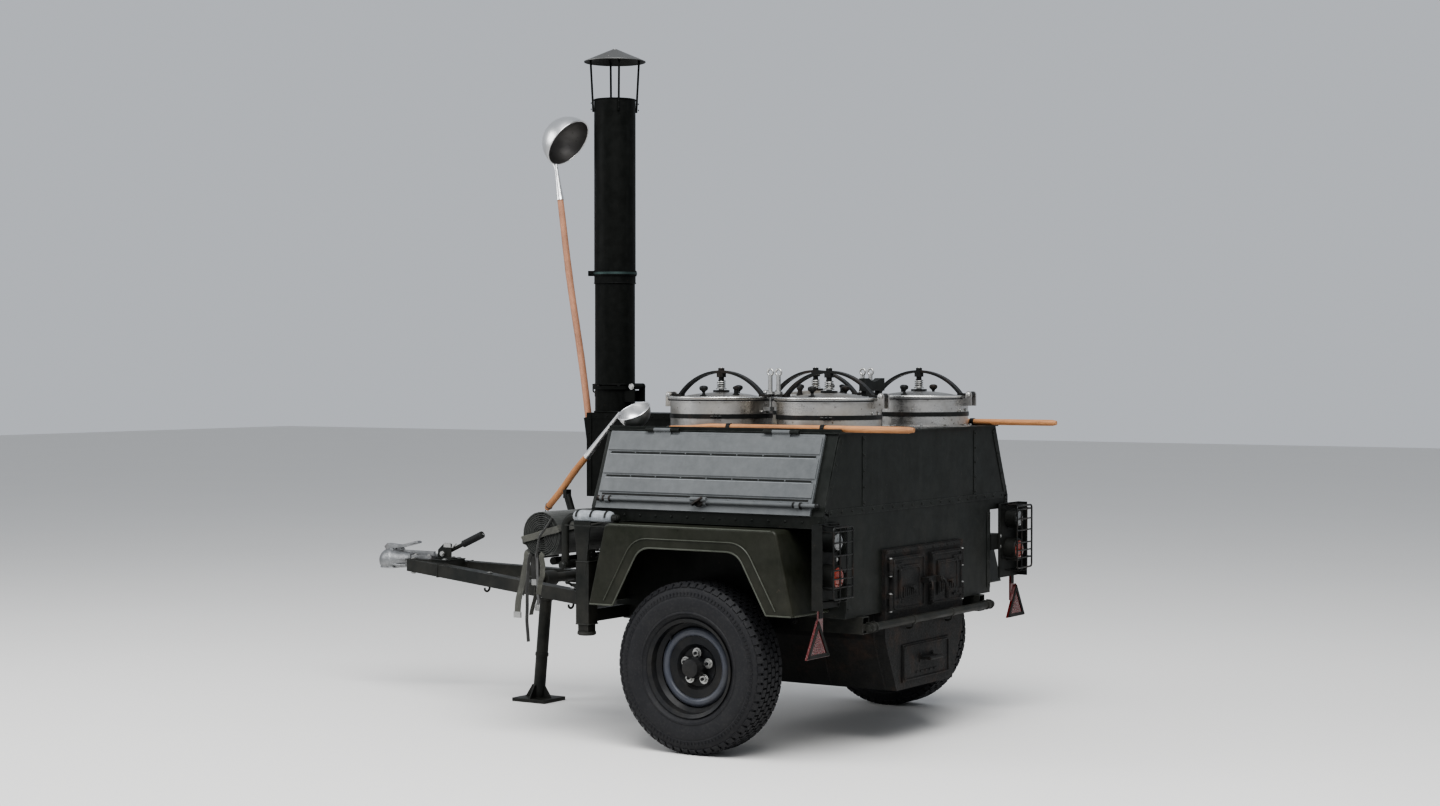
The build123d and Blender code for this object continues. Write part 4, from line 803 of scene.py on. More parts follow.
def makeWheel(name, side):
    x, z = wheelSet["axle"]
    centre = Vector((x, side * wheelSet["halfTrack"], z))
    body = "wheel_" + name
    half = [(r / 1000, h / 1000) for h, r in wheelSet["section"]]
    section = half + [(r, -h) for r, h in half[-2::-1]] + [half[0]]
    bm = bmesh.new()
    addTurned(bm, section, centre, (0, 1, 0), wheelSet["around"])
    for out in (1, -1):
        low = Vector((-0.0022, 0.0792 if out > 0 else -0.0812, 0.2535))
        for t in circleAngles(wheelSet["around"]):
            addBox(bm, low, low + Vector((0.0044, 0.002, 0.0115)), Matrix.Rotation(t, 3, "Y"), centre)
    makePiece("tyreCarcass_" + name, bm, body, "rubber", ["tyre_" + name], angle=32, mend=False)
    spots = []
    for k, y in enumerate(wheelSet["rows"]):
        spots += circle(centre + Vector((0, y, 0)), (0, 1, 0), wheelSet["blockRadius"], wheelSet["blocks"],
                        outwards=True, phase=0.5 * (k % 2))
    setOut("treadRows_" + name, "block", spots, body, "rubber", 0.0265, 0.0078, 0.0195)
    spots = []
    for out in (1, -1):
        for place, radial, axis in circle(centre + Vector((0, out * 0.0635, 0)), (0, 1, 0), 0.2872,
                                          wheelSet["blocks"], outwards=True, phase=0.5):
            lean = (radial * 0.74 + axis * out * 0.67).normalized()
            spots.append((place, lean, axis))
    setOut("treadShoulders_" + name, "block", spots, body, "rubber", 0.024, 0.0075, 0.021)

    nutSpots, washers = [], bmesh.new()
    for t in circleAngles(wheelSet["nuts"]):
        spoke = Vector((sin(t), 0, cos(t))) * wheelSet["nutCircle"] + centre
        flat = Vector((cos(t), 0, -sin(t)))
        nutSpots.append((spoke + Vector((0, side * 0.0165, 0)), axisY * side, flat))
        addStud(washers, spoke, (0, side, 0), 24, (16.5, 3.5), (17.5, 4.5), (17.5, 6.5), (12, 8), (0, 8))
        addStud(washers, spoke, (0, side, 0), 16, (5.5, 20), (5.5, 32.5), (4.5, 34), (0, 34))
    setOut("wheelNuts_" + name, "bolt", nutSpots, body, "wornSteel", 0.0252, 0.021)
    # hub cap with a rolled edge, and the valve through the rim
    addTurned(washers, [(0.0322, 0.04), (0.0355, 0.041), (0.0362, 0.0435), (0.0345, 0.046), (0.0338, 0.058),
                        (0.031, 0.0632), (0.026, 0.0655), (0.012, 0.0662), (0, 0.0662)], centre, (0, side, 0),
              40)
    valve = centre + Vector((0.094, side * 0.012, 0.094))
    addTube(washers, [valve, valve + Vector((0.001, side * 0.014, 0.001)),
                      valve + Vector((0, side * 0.03, 0))], [0.0052, 0.004, 0.0032], 10)
    makePiece("hubTrim_" + name, washers, body, "rim", angle=35)
    # rounded shoulder of the wheel's disc; its pale ring round the dish is a lighter copy of the rim paint, a
    # painted highlight
    ring = bmesh.new()
    addTurned(ring, wheelSet["discRing"], centre, (0, side, 0), 96)
    makePiece("discRingHighlight_" + name, ring, body, "rimRingHighlight", angle=35)


for name, side in sides.items():
    makeWheel(name, side)
print("wheels made")


# Body: edge strips, rivets, hatch screws and latches, painted shadow and highlight on the hatch ribs, beads
# in painted highlight and bolts of the mudguards
bodySet = {"rear": -500.0, "front": 450.0, "strip": 26.0, "rivet": 0.0095, "hinges": (205.0, -285.0),
           "latchDown": 263.0, "hatchEnds": (-438.0, 412.0), "guardMid": -15.0, "guardOut": 800.0,
           "bead": 0.0032}


def bodyEdges():
    strips = bmesh.new()
    spots = []
    inset = bodySet["strip"] / 2 + 2
    for side in sides.values():
        for x, face in ((bodySet["rear"], -1), (bodySet["front"], 1)):
            edge = [(605 - inset, 1098), (712 - inset, 842), (712 - inset, 800)]
            low = [(560 - inset, 786), (560 - inset, 500)]
            for line in (edge, low):
                addStrip(strips, [at(x, side * y, z) for y, z in line], bodySet["strip"] / 1000, 0.0026,
                         (face, 0, 0))
                for (ya, za), (yb, zb) in zip(line, line[1:]):
                    count = max(2, int(hypot(ya - yb, za - zb) / 62))
                    spots += row(at(x + face * 3, side * ya, za - 12), at(x + face * 3, side * yb, zb + 12),
                                 count, (face, 0, 0))
        # the wall above the guard, and the one behind the wheel
        spots += row(at(-485, side * 712.5, 817), at(440, side * 712.5, 817), 15, (0, side, 0))
        spots += row(at(-470, side * 560.5, 760), at(-470, side * 560.5, 520), 5, (0, side, 0))
    for y in (-430, 430):
        addStrip(strips, [at(bodySet["rear"], y, 860), at(bodySet["rear"], y, 1100)], 0.022, 0.0022,
                 (-1, 0, 0))
        spots += row(at(-503, y, 870), at(-503, y, 1090), 5, (-1, 0, 0))
    addStrip(strips, [at(-500, -676, 846), at(-500, 676, 846)], 0.024, 0.0024, (-1, 0, 0))
    spots += row(at(-503, -660, 846), at(-503, 660, 846), 19, (-1, 0, 0))
    for x in (-489, 438):
        spots += row(at(x, -530, 1116), at(x, 530, 1116), 17, (0, 0, 1))
    addStrip(strips, [at(-85, -535, 1116), at(-85, 535, 1116)], 0.026, 0.0022, (0, 0, 1))
    makePiece("bodyStrips", strips, "chassis", "body", bevel=0.0006, mend=False)
    setOut("bodyRivets", "rivet", spots, "chassis", "body", bodySet["rivet"], 0.004)


def hatchTrim(name, side):
    body, face = "hatch_" + name, slopeFacing(side)
    along = axisX

    # the two ends of a line along the hatch, so far down it and so far out
    def lineAt(down, out):
        return [onSlope(x, down, out, side) for x in bodySet["hatchEnds"]]

    screws = []
    for hinge in bodySet["hinges"]:
        for step in (-26, -10, 10, 26):
            screws.append((onSlope(hinge + step, 8, 16.4, side), face, along))
    setOut("hatchScrews_" + name, "rivet", screws, body, "hatch", 0.0085, 0.004)
    small = []
    for down in (87, 175, 249):
        small += row(*lineAt(down, 10.1), 9, face)
    setOut("hatchRivets_" + name, "rivet", small, body, "hatch", 0.0058, 0.003)

    # painted shadow: a dark strip in each groove; painted highlight: a pale line on the edge of the rib below
    # it
    dark, ribHighlight = bmesh.new(), bmesh.new()
    fall = onSlope(0, 1000, 0, side) - onSlope(0, 0, 0, side)
    for down in (87, 175, 243):
        addBand(dark, lineAt(down, 10.3), 0.0072, 0.0006, fall)
    for down in (94.6, 182.6):
        addTube(ribHighlight, lineAt(down, 12.2), 0.0016, 8)
    makePiece("hatchGrooveShadows_" + name, dark, body, "lampBlack")
    makePiece("hatchRibHighlights_" + name, ribHighlight, body, "hatchHighlight")

    bm = bmesh.new()
    down = bodySet["latchDown"]
    # ball ends of the latch bar, its turning lock with a wing, and collars beside the brackets
    for x in (-482, 417):
        addBall(bm, onSlope(x, down, 20, side), 0.01, 10, 20)
    for x in (-418, -391, 366, 393):
        addCollar(bm, onSlope(x, down, 20, side), (1, 0, 0), 20, 7.2, 10.5, -3, 3)
    addStud(bm, onSlope(-12.5, down + 4, 0, side), face, 24, (16.5, 20), (16.5, 26.5), (14.5, 28.5),
            (6, 28.5), (6, 34), (0, 34))
    turn = Matrix((along, face.cross(along), face)).transposed() @ Matrix.Rotation(0.6, 3, "Z")
    addBox(bm, (-0.024, -0.0035, -0.004), (0.024, 0.0035, 0.009), turn, onSlope(-12.5, down + 4, 34, side))
    makePiece("hatchLatch_" + name, bm, body, "blackSteel", bevel=0.0008)

    # stiffeners on the inner face, seen when the hatch is up
    inner = bmesh.new()
    for x in (-330, -12.5, 305):
        outline = ((-18, 0.35), (-11, -9), (11, -9), (18, 0.35))
        addPrism(inner, *([onSlope(x + step, down, out, side) for step, out in outline]
                          for down in (255, 52)))
    makePiece("hatchStiffeners_" + name, inner, body, "hatch", bevel=0.001)


def guardTrim(name, side):
    mid, out, r = bodySet["guardMid"], bodySet["guardOut"], bodySet["bead"]
    bm = bmesh.new()
    # the beads and channel are in pale paint: painted highlight along the arch and the edges
    y = side * (out + 0.2)
    arch = [at(mid + x, y, z) for x, z in ((-315, 504), (-200, 712), (200, 712), (315, 504))]
    addTube(bm, roundedPath(arch, 0.046, 10), r, 10)
    for end in (-1, 1):
        addTube(bm, [at(mid + end * 316, y, 504.5), at(mid + end * 413, y, 504.5)], r, 10)
        addTube(bm, [at(mid + end * 419.5, side * 562, 504.5), at(mid + end * 419.5, side * 788, 504.5)], r,
                10)
    # pressed channel round the arch
    wide = [at(mid + x, side * (out + 0.6), z) for x, z in ((-352, 520), (-226, 744), (226, 744), (352, 520))]
    addTube(bm, roundedPath(wide, 0.06, 10), 0.0042, 8, flat=0.5)
    # pale line along the rounded top edge: painted highlight
    addTube(bm, [at(mid - 332, side * (out - 3), 788), at(mid + 332, side * (out - 3), 788)], 0.0022, 8)
    makePiece("guardBeadHighlights_" + name, bm, "chassis", "guardHighlight")
    spots = row(at(mid - 318, side * 574, 791), at(mid + 318, side * 574, 791), 8, (0, 0, 1))
    for end in (-1, 1):
        slope = Vector((end * 0.9717, 0, 0.2362))
        spots += row(at(mid + end * 362.5, side * 574, 740), at(mid + end * 408, side * 574, 553), 3, slope)
    spots = [(place + face * 0.002, face, along) for place, face, along in spots]
    setOut("guardBolts_" + name, "bolt", spots, "chassis", "guard", 0.012, 0.006)


bodyEdges()
for name, side in sides.items():
    hatchTrim(name, side)
    guardTrim(name, side)
print("body, hatch and guard trim made")


# Boilers: rolled lid rims, gaskets, hoops, knobs, vents and flange bolts
boilerSet = {"rows": {"front": (140.0, 1), "rear": (-310.0, -1)}, "y": 340.0, "knobOut": 118.0,
             "flangeBolts": 12, "hoopZ": 1163.0}


def crownHeight(r):
    return 1225.4 + 22 * (1 - (r / 170) ** 2)


def boilerTrim(rowName, x, hinge, name, side):
    key = rowName + "_" + name
    y = side * boilerSet["y"]
    gasket = bmesh.new()
    addRing(gasket, at(x, y, 1220.0), 0.1918, 0.0022, around=72)
    makePiece("gasket_" + key, gasket, "chassis", "rubber")
    rim = bmesh.new()
    addRing(rim, at(x, y, 1229.6), 0.1925, 0.0034, around=80, section=10)
    addRing(rim, at(x, y, 1226.3), 0.1702, 0.0022, around=72)
    makePiece("lidRim_" + key, rim, "lid_" + key, "paleSteel")

    # band round the neck, with a draw bolt through its ears
    hoop = bmesh.new()
    z = boilerSet["hoopZ"]
    addCollar(hoop, at(x, y, z), (0, 0, 1), 72, 185.2, 187.8, -8, 8)
    away = (Vector((-0.45, 0.893, 0)) if side > 0 else Vector((-0.6, -0.8, 0))).normalized()
    spot = at(x, y, z) + away * 0.1935
    across = axisZ.cross(away).normalized()
    turn = Matrix((away, across, axisZ)).transposed()
    for step in (-1, 1):
        addBox(hoop, (-0.007, -0.002, -0.0085), (0.009, 0.002, 0.0085), turn, spot + across * 0.007 * step)
    addTube(hoop, [spot + across * 0.02 * step + away * 0.002 for step in (-1, 1)], 0.0032, 8)
    makePiece("hoop_" + key, hoop, "chassis", "blackSteel", mend=False)

    spots = circle(at(x, y, 1120.4), (0, 0, 1), 0.1925, boilerSet["flangeBolts"], 0.0022, phase=0.5)
    setOut("flangeBolts_" + key, "bolt", spots, "chassis", "wornSteel", 0.0095, 0.005)

    knobs = bmesh.new()
    for step in (-1, 1):
        out = boilerSet["knobOut"]
        foot = at(x, y + step * out, crownHeight(out) - 1.5)
        addStud(knobs, foot, (0, 0, 1), 24, (13, 0), (13, 2.5), (6, 4.5), (4.8, 12), (8, 17), (14.5, 22),
                (16, 28), (14, 33.5), (7, 36.5), (0, 37))
    vent = at(x - hinge * 92, y + side * 46, crownHeight(103) - 1.5)
    addStud(knobs, vent, (0, 0, 1), 20, (12.5, 0), (12.5, 4), (8, 6), (8, 20), (11.5, 22), (11.5, 29),
            (4, 33), (0, 33))
    makePiece("lidKnobs_" + key, knobs, "lid_" + key, "blackSteel")

    # rivet heads on the lugs under the bow's ends
    lugs = bmesh.new()
    for end in (hinge, -hinge):
        for step in (-1, 1):
            spot = at(x + end * 190, y + step * 20, 1178)
            addStud(lugs, spot - Vector((end * 0.006, 0, 0)), (end, 0, 0), 14, (5.5, 0), (5.5, 4.5), (3, 6),
                    (0, 6))
    makePiece("lugRivets_" + key, lugs, "chassis", "wornSteel")


# Bow dressings: spring and thrust ring on the pressure screw, its head, and pin heads at the hinge
def bowTrim(rowName, x, hinge, name, side):
    key = rowName + "_" + name
    y = side * boilerSet["y"]
    bm = bmesh.new()
    spring = []
    for k in range(49):
        t = tau * k / 12
        spring.append(at(x, y, 1262 + 28 * k / 48) + Vector((0.0145 * cos(t), 0.0145 * sin(t), 0)))
    addTube(bm, spring, 0.0022, 6)
    addCollar(bm, at(x, y, 1257.5), (0, 0, 1), 24, 10.2, 19, 0, 4)
    addStud(bm, at(x, y, 1331.3), (0, 0, 1), 16, (7.2, 0), (7.2, 4), (5, 6.5), (0, 7))
    makePiece("bowSpring_" + key, bm, "lid_" + key, "wornSteel")
    pins = bmesh.new()
    pivot = x + hinge * 217
    for step in (-1, 1):
        addStud(pins, at(pivot, y + step * 23.2, 1236), (0, step, 0), 18, (8.5, 0), (8.5, 3), (5, 5.5),
                (0, 5.5))
    makePiece("hingePins_" + key, pins, "chassis", "wornSteel")


for rowName, (x, hinge) in boilerSet["rows"].items():
    for name, side in sides.items():
        boilerTrim(rowName, x, hinge, name, side)
        bowTrim(rowName, x, hinge, name, side)
print("boiler trim made")


# Chimney: lock seams, rolled rims, hinge bolts, toggle clip and rivets
stackSet = {"x": 850.0, "upper": 0.081, "lower": 0.0782, "joint": 1703.0, "cap": (2530.0, 0.12),
            "seamTurn": -70.0}


def chimneyTrim():
    x = stackSet["x"]
    bm = bmesh.new()
    t = radians(stackSet["seamTurn"])
    out = Vector((cos(t), sin(t), 0))
    for r, low, high in ((stackSet["upper"], 1716, 2378), (stackSet["lower"], 1270, 1660)):
        addStrip(bm, [at(x, 0, low) + out * (r - 0.0006), at(x, 0, high) + out * (r - 0.0006)], 0.010, 0.0021,
                 out)
    addRing(bm, at(x, 0, 2379.2), stackSet["upper"], 0.0027, around=64)
    addRing(bm, at(x, 0, 1664.5), stackSet["upper"] - 0.0004, 0.0024, around=64)
    addRing(bm, at(x, 0, 1270.0), stackSet["lower"] + 0.0014, 0.003, around=64)
    makePiece("stackBeads", bm, "chimney", "stack", mend=False)
    rim = bmesh.new()
    addRing(rim, at(x, 0, stackSet["cap"][0] - 0.8), stackSet["cap"][1] - 0.0022, 0.0021, around=72)
    addTurned(rim, [(0, 0), (0.011, -0.001), (0.009, 0.003), (0.004, 0.0045), (0, 0.0045)], at(x, 0, 2575.5),
              (0, 0, 1), 20)
    makePiece("capRim", rim, "chimney", "wornSteel")
    cap = bmesh.new()
    low, reach = stackSet["cap"]
    addTurned(cap, [(reach + 0.0004, -0.0024), (reach + 0.0004, 0.0002), (0.012, 0.0466), (0, 0.0512),
                    (0, 0.0495), (0.012, 0.0450), (reach - 0.002, -0.001), (reach + 0.0004, -0.0024)],
              at(x, 0, low), (0, 0, 1), 72)
    for k in range(4):
        t = radians(20 + 90 * k)
        out = Vector((cos(t), sin(t), 0))
        addStud(cap, at(x, 0, low + 12) + out * 0.092, out * 0.39 + Vector((0, 0, 0.92)), 10, (4, 0), (3, 2),
                (0, 2.6))
    makePiece("capSkin", cap, "chimney", "capSteel")
    clamp = bmesh.new()
    addCollar(clamp, at(x, 0, stackSet["joint"]), (0, 0, 1), 64, 85.2, 86.6, -4.5, 4.5)
    makePiece("stackClamp", clamp, "chimney", "clampSteel")
    spots = []
    for k in range(4):
        a = radians(45 + 90 * k)
        radial = Vector((cos(a), sin(a), 0))
        for z in (2342, 2366):
            spots.append((at(x, 0, z) + radial * 0.0935, radial, axisZ))
    seam = [(at(x, 0, z) + out * (stackSet["upper"] + 0.0013), out, axisZ) for z in range(1730, 2370, 46)]
    setOut("stackRivets", "rivet", spots + seam, "chimney", "stack", 0.0068, 0.003)
    bolts = circle(at(x, 0, 1263), (0, 0, 1), 0.0836, 6, 0.0024, phase=0.5)
    setOut("stackFlangeBolts", "bolt", bolts, "chimney", "blackSteel", 0.0088, 0.005)
    ends = [(at(745, step * 39.5, 1262), Vector((0, step, 0)), axisZ) for step in (-1, 1)]
    setOut("foldBolts", "bolt", ends, "chassis", "wornSteel", 0.017, 0.008)


# Smoke box: corner angles, rivets, soot door with its hinge pins and turn button, and the chimney's clip
boxSet = {"ends": (902, 465), "levels": (1147, 849), "half": 100}


def smokeBoxTrim():
    bm = bmesh.new()
    half = boxSet["half"]
    for side in sides.values():
        for x in boxSet["ends"]:
            addStrip(bm, [at(x, side * half, 840), at(x, side * half, 1156)], 0.022, 0.0024, (0, side, 0))
        for z in boxSet["levels"]:
            addStrip(bm, [at(478, side * half, z), at(890, side * half, z)], 0.02, 0.0022, (0, side, 0))
    addRing(bm, at(850, 0, 1162.5), 0.0795, 0.004, around=56)
    makePiece("smokeBoxAngles", bm, "chassis", "stack", mend=False)
    rivets = []
    for side in sides.values():
        for x in boxSet["ends"]:
            rivets += row(at(x, side * (half + 2.4), 860), at(x, side * (half + 2.4), 1136), 6, (0, side, 0))
        for z in boxSet["levels"]:
            rivets += row(at(500, side * (half + 2.2), z), at(870, side * (half + 2.2), z), 8, (0, side, 0))
    setOut("smokeBoxRivets", "rivet", rivets, "chassis", "stack", 0.0078, 0.0035)
    door = bmesh.new()
    addBox(door, at(600, 100, 930), at(760, 106, 1060))
    addBox(door, at(608, 106, 938), at(752, 108.5, 1052))
    for z in (955, 1035):
        addTube(door, [at(594, 107, z - 16), at(594, 107, z + 16)], 0.006, 10)
    addStud(door, at(738, 108, 995), (0, 1, 0), 20, (12, 0), (12, 4), (6, 6), (6, 14), (13, 16), (13, 22),
            (0, 23))
    makePiece("sootDoor", door, "chassis", "stack", bevel=0.0012)
    clip = bmesh.new()
    for step in (-1, 1):
        bar = [at(929, step * 16, 1236), at(944, step * 16, 1240), at(944, step * 16, 1268)]
        addTube(clip, roundedPath(bar, 0.006, 4), 0.0028, 8)
    addTube(clip, [at(944, -18, 1268), at(944, 18, 1268)], 0.0034, 8)
    addBox(clip, at(926, -22, 1222), at(933, 22, 1244))
    makePiece("stackClip", clip, "chassis", "blackSteel")


chimneyTrim()
smokeBoxTrim()
print("chimney and smoke box trim made")


# Canvas roll: one sheet rolled up in a spiral, squeezed by its straps
rollSet = {"x": 650.0, "z": 735.0, "half": 748.0, "inner": 13.0, "outer": 82.5, "pitch": 7.0, "thick": 3.2,
           "steps": 26, "across": 34, "straps": (-385.0, 385.0), "squeeze": 4.5}


def rollRadius(turnShare, y):
    squeeze = sum(exp(-((y - s) / 42) ** 2) for s in rollSet["straps"])
    reach = rollSet["inner"] + (rollSet["outer"] - rollSet["inner"]) * turnShare
    lump = noise.noise(Vector((turnShare * 9, y / 170, 3.1))) * 1.6
    lump += noise.noise(Vector((turnShare * 40, y / 60, 7.7))) * 0.7
    return reach - squeeze * rollSet["squeeze"] * turnShare + lump * turnShare


def canvasRoll():
    bm = bmesh.new()
    uv = bm.loops.layers.uv.verify()
    turns = (rollSet["outer"] - rollSet["inner"]) / rollSet["pitch"]
    rings = int(turns * rollSet["steps"])
    sheets = []
    for layer in (0.5, -0.5):
        grid = []
        for i in range(rings + 1):
            share = i / rings
            t = -2.2 + tau * turns * (share - 1)
            line = []
            ragged = 3.5 * noise.noise(Vector((share * 11, 0.3, 1.7)))
            for k in range(rollSet["across"] + 1):
                end = 2 * k / rollSet["across"] - 1
                y = end * (rollSet["half"] + ragged * abs(end) ** 6)
                r = rollRadius(share, y) + layer * rollSet["thick"]
                if i > rings - 4:
                    r += (i - rings + 4) * 0.5
                line.append(bm.verts.new(at(rollSet["x"] + r * cos(t), y, rollSet["z"] + r * sin(t))))
            grid.append(line)
        sheets.append(grid)
    run = turns * pi * (rollSet["outer"] + rollSet["inner"]) / 1000
    wide = 2 * rollSet["half"] / 1000
    over, under = sheets

    def quad(corners, spots):
        face = bm.faces.new(corners)
        for loop, (i, k) in zip(face.loops, spots):
            loop[uv].uv = (k / rollSet["across"] * wide, i / rings * run)

    for i in range(rings):
        for k in range(rollSet["across"]):
            spots = [(i, k), (i, k + 1), (i + 1, k + 1), (i + 1, k)]
            quad([over[a][b] for a, b in spots], spots)
            quad([under[a][b] for a, b in spots[::-1]], spots[::-1])
        for k in (0, rollSet["across"]):
            corners = [over[i][k], over[i + 1][k], under[i + 1][k], under[i][k]]
            quad(corners if k == 0 else corners[::-1], [(i, k), (i + 1, k), (i + 1, k), (i, k)])
    for k in range(rollSet["across"]):
        for i in (0, rings):
            corners = [over[i][k + 1], over[i][k], under[i][k], under[i][k + 1]]
            quad(corners if i == 0 else corners[::-1], [(i, k + 1), (i, k), (i, k), (i, k + 1)])
    piece = makePiece("canvasSpiral", bm, "chassis", "canvas", ["canvas_roll"], angle=60)
    return piece, (wide, run)


# Webbing round the roll, over its left end, and the loose tails that hang from it
strapSet = {
    "width": 0.032, "thick": 0.0032, "radius": 0.0806,
    # the hanging tails: place along and across, lower end in mm, and width
    "tails": ((96, 742, 440, 0.026), (70, 752, 345, 0.013), (28, 748, 470, 0.024), (-12, 756, 520, 0.018),
              (112, 700, 505, 0.014), (52, 735, 560, 0.03), (120, 650, 430, 0.02)), "buckled": (0, 2, 5),
}


def rollStraps():
    x, z = rollSet["x"], rollSet["z"]
    webbing, light, metal = bmesh.new(), bmesh.new(), bmesh.new()
    for y in rollSet["straps"]:
        loop = [at(x, y, z) + Vector((cos(t), 0, sin(t))) * (strapSet["radius"] + 0.0012 * sin(3 * t))
                for t in (tau * k / 48 for k in range(49))]
        addBand(webbing, loop, strapSet["width"], strapSet["thick"])
        spot = at(x, y, z) + Vector((cos(0.7), 0, sin(0.7))) * 0.0845
        addBox(metal, (-0.019, -0.022, -0.0022), (0.019, 0.022, 0.0022), Matrix.Rotation(-0.87, 3, "Y"), spot)
        tail = [at(x, y, z) + Vector((cos(t), 0, sin(t))) * 0.0862 for t in (0.6, 0.4, 0.2, 0.0, -0.15)]
        addBand(webbing, tail + [at(x + 90, y + 4, z - 45), at(x + 92, y + 7, z - 95),
                                 at(x + 86, y + 8, z - 140)], strapSet["width"] * 0.9, strapSet["thick"])
    # lengthways strap over the left end, and a thin one that crosses it in a V
    y = rollSet["half"] + 4
    over = [at(x + 62, 560, z - 58), at(x + 72, 640, z - 52), at(x + 80, 715, z - 34),
            at(x + 82, y - 4, z - 24), at(x + 72, y, z - 18), at(x + 20, y + 3, z - 5),
            at(x - 30, y + 3, z + 11), at(x - 74, y, z + 22), at(x - 82, y - 6, z + 26),
            at(x - 83, 700, z + 28), at(x - 80, 600, z + 34), at(x - 74, 480, z + 40)]
    addBand(light, smoothPath(over, 5), 0.024, 0.003, Vector((0.25, 0, 1)))
    vee = [at(x - 52, y - 2, z + 64), at(x - 30, y + 3, z + 30), at(x - 2, y + 6, z - 4),
           at(x + 6, y + 6, z - 32), at(x + 14, y + 3, z - 66), at(x + 18, y - 6, z - 84),
           at(x + 20, 700, z - 84), at(x + 18, 620, z - 84)]
    addTube(webbing, smoothPath(vee, 5), 0.0042, 8)
    rng = random.Random(4)
    for k, (dx, dy, low, wide) in enumerate(strapSet["tails"]):
        top = 668 - 10 * (k % 2)
        points = []
        for j in range(9):
            share = j / 8
            sway = 16 * sin(2.4 * share + k * 1.7) * share + rng.uniform(-2, 2)
            points.append(at(x + dx * 0.7 + dx * 0.3 * share + sway, min(dy + sway * 0.4, 765),
                             top + (low - top) * share))
        start = at(x + dx * 0.7, dy - 22, top + 18 if abs(dx) < 60 else top + 10)
        path = smoothPath([start] + points, 3)
        addBand(webbing if k % 3 else light, path, wide, 0.0026, Vector((cos(k * 1.3), sin(k * 1.3), 0)))
        if k in strapSet["buckled"]:
            addBox(metal, (-wide * 0.62, -0.003, -0.011), (wide * 0.62, 0.003, 0.011),
                   Matrix.Rotation(k * 1.3, 3, "Z"), points[-1])
    dark = makePiece("rollWebbing", webbing, "chassis", "darkStrap", mend=False)
    pale = makePiece("rollStrapLight", light, "chassis", "strap", mend=False)
    makePiece("strapBuckles", metal, "chassis", "wornSteel", bevel=0.0008)
    return dark, pale


# Foam sleeves on the rack's arms, flattened where they lie on the mudguards, and the rack's clips and plugs
sleeveSet = {"from": 332.0, "to": 496.0, "y": 750.0, "z": 807.5, "radius": 22.5, "floor": 791.6, "rings": 30,
             "around": 26}


def makeSleeve(name, side):
    s = sleeveSet
    bm = bmesh.new()
    rings = []
    for i in range(s["rings"] + 1):
        share = i / s["rings"]
        x = s["from"] + (s["to"] - s["from"]) * share
        grow = 1 - 0.34 * (abs(2 * share - 1) ** 14) + 0.035 * noise.noise(Vector((x / 26, side, 1.3)))
        ring = []
        for t in circleAngles(s["around"]):
            lump = 1 + 0.035 * noise.noise(Vector((x / 40, cos(t) * 1.3, sin(t) * 1.3)))
            y = side * s["y"] + s["radius"] * grow * lump * cos(t)
            z = max(s["z"] + s["radius"] * grow * lump * sin(t), s["floor"] + 0.5 * abs(cos(t)))
            ring.append(bm.verts.new(at(x, y, z)))
        rings.append(ring)
    skin(bm, rings, lambda u, v: (u / s["around"] * 0.14, v / s["rings"] * 0.16))
    sleeve = makePiece("rackSleeve_" + name, bm, "chassis", "foam", angle=70)


def rackTrim():
    s = sleeveSet
    for name, side in sides.items():
        makeSleeve(name, side)
    trim = bmesh.new()
    for side in sides.values():
        for x in (352, 414, 476):
            hoop = [at(x, side * s["y"] + 24.6 * cos(t), max(s["z"] + 24.0 * sin(t), 792.4))
                    for t in (pi * k / 14 for k in range(15))]
            addBand(trim, hoop, 0.008, 0.0014, axisX)
        # flat bar under the sleeve, down the outer edge of the guard
        near, far = sorted((side * 789, side * 798))
        addBox(trim, at(318, near, 776), at(508, far, 779.5))
        for z in (600, 664):
            for y in (-27, 27):
                addStud(trim, at(466, side * 385 + y, z), (1, 0, 0), 6, (7.5, 0), (7.5, 5), (4, 8), (0, 8))
        addStud(trim, at(540, side * 770, 632), (0, side, 0), 24, (12.5, 0), (12.5, 3), (9, 7), (0, 8))
        addStud(trim, at(310, side * 750, 805.3), (-1, 0, 0), 24, (11.2, 0), (11.2, 3), (8, 6), (0, 7))
    for y in (-250, 0, 250):
        addBand(trim, roundY(670, y, 632, 15.6, 20), 0.014, 0.0016)
    makePiece("rackTrim", trim, "chassis", "frame", mend=False)


rolled, cut = canvasRoll()
straps = rollStraps()
rackTrim()
print("roll, straps and rack trim made")


# Rear lamps with lenses, bezels and wire guards, and reflectors with frames
lampSet = {"x": -549.3, "y": 704.0, "upper": (755.0, 34.0), "lower": (635.0, 42.0), "guardReach": 26.0,
           "wire": 0.0029, "guard": (568, 806, 642, 772)}


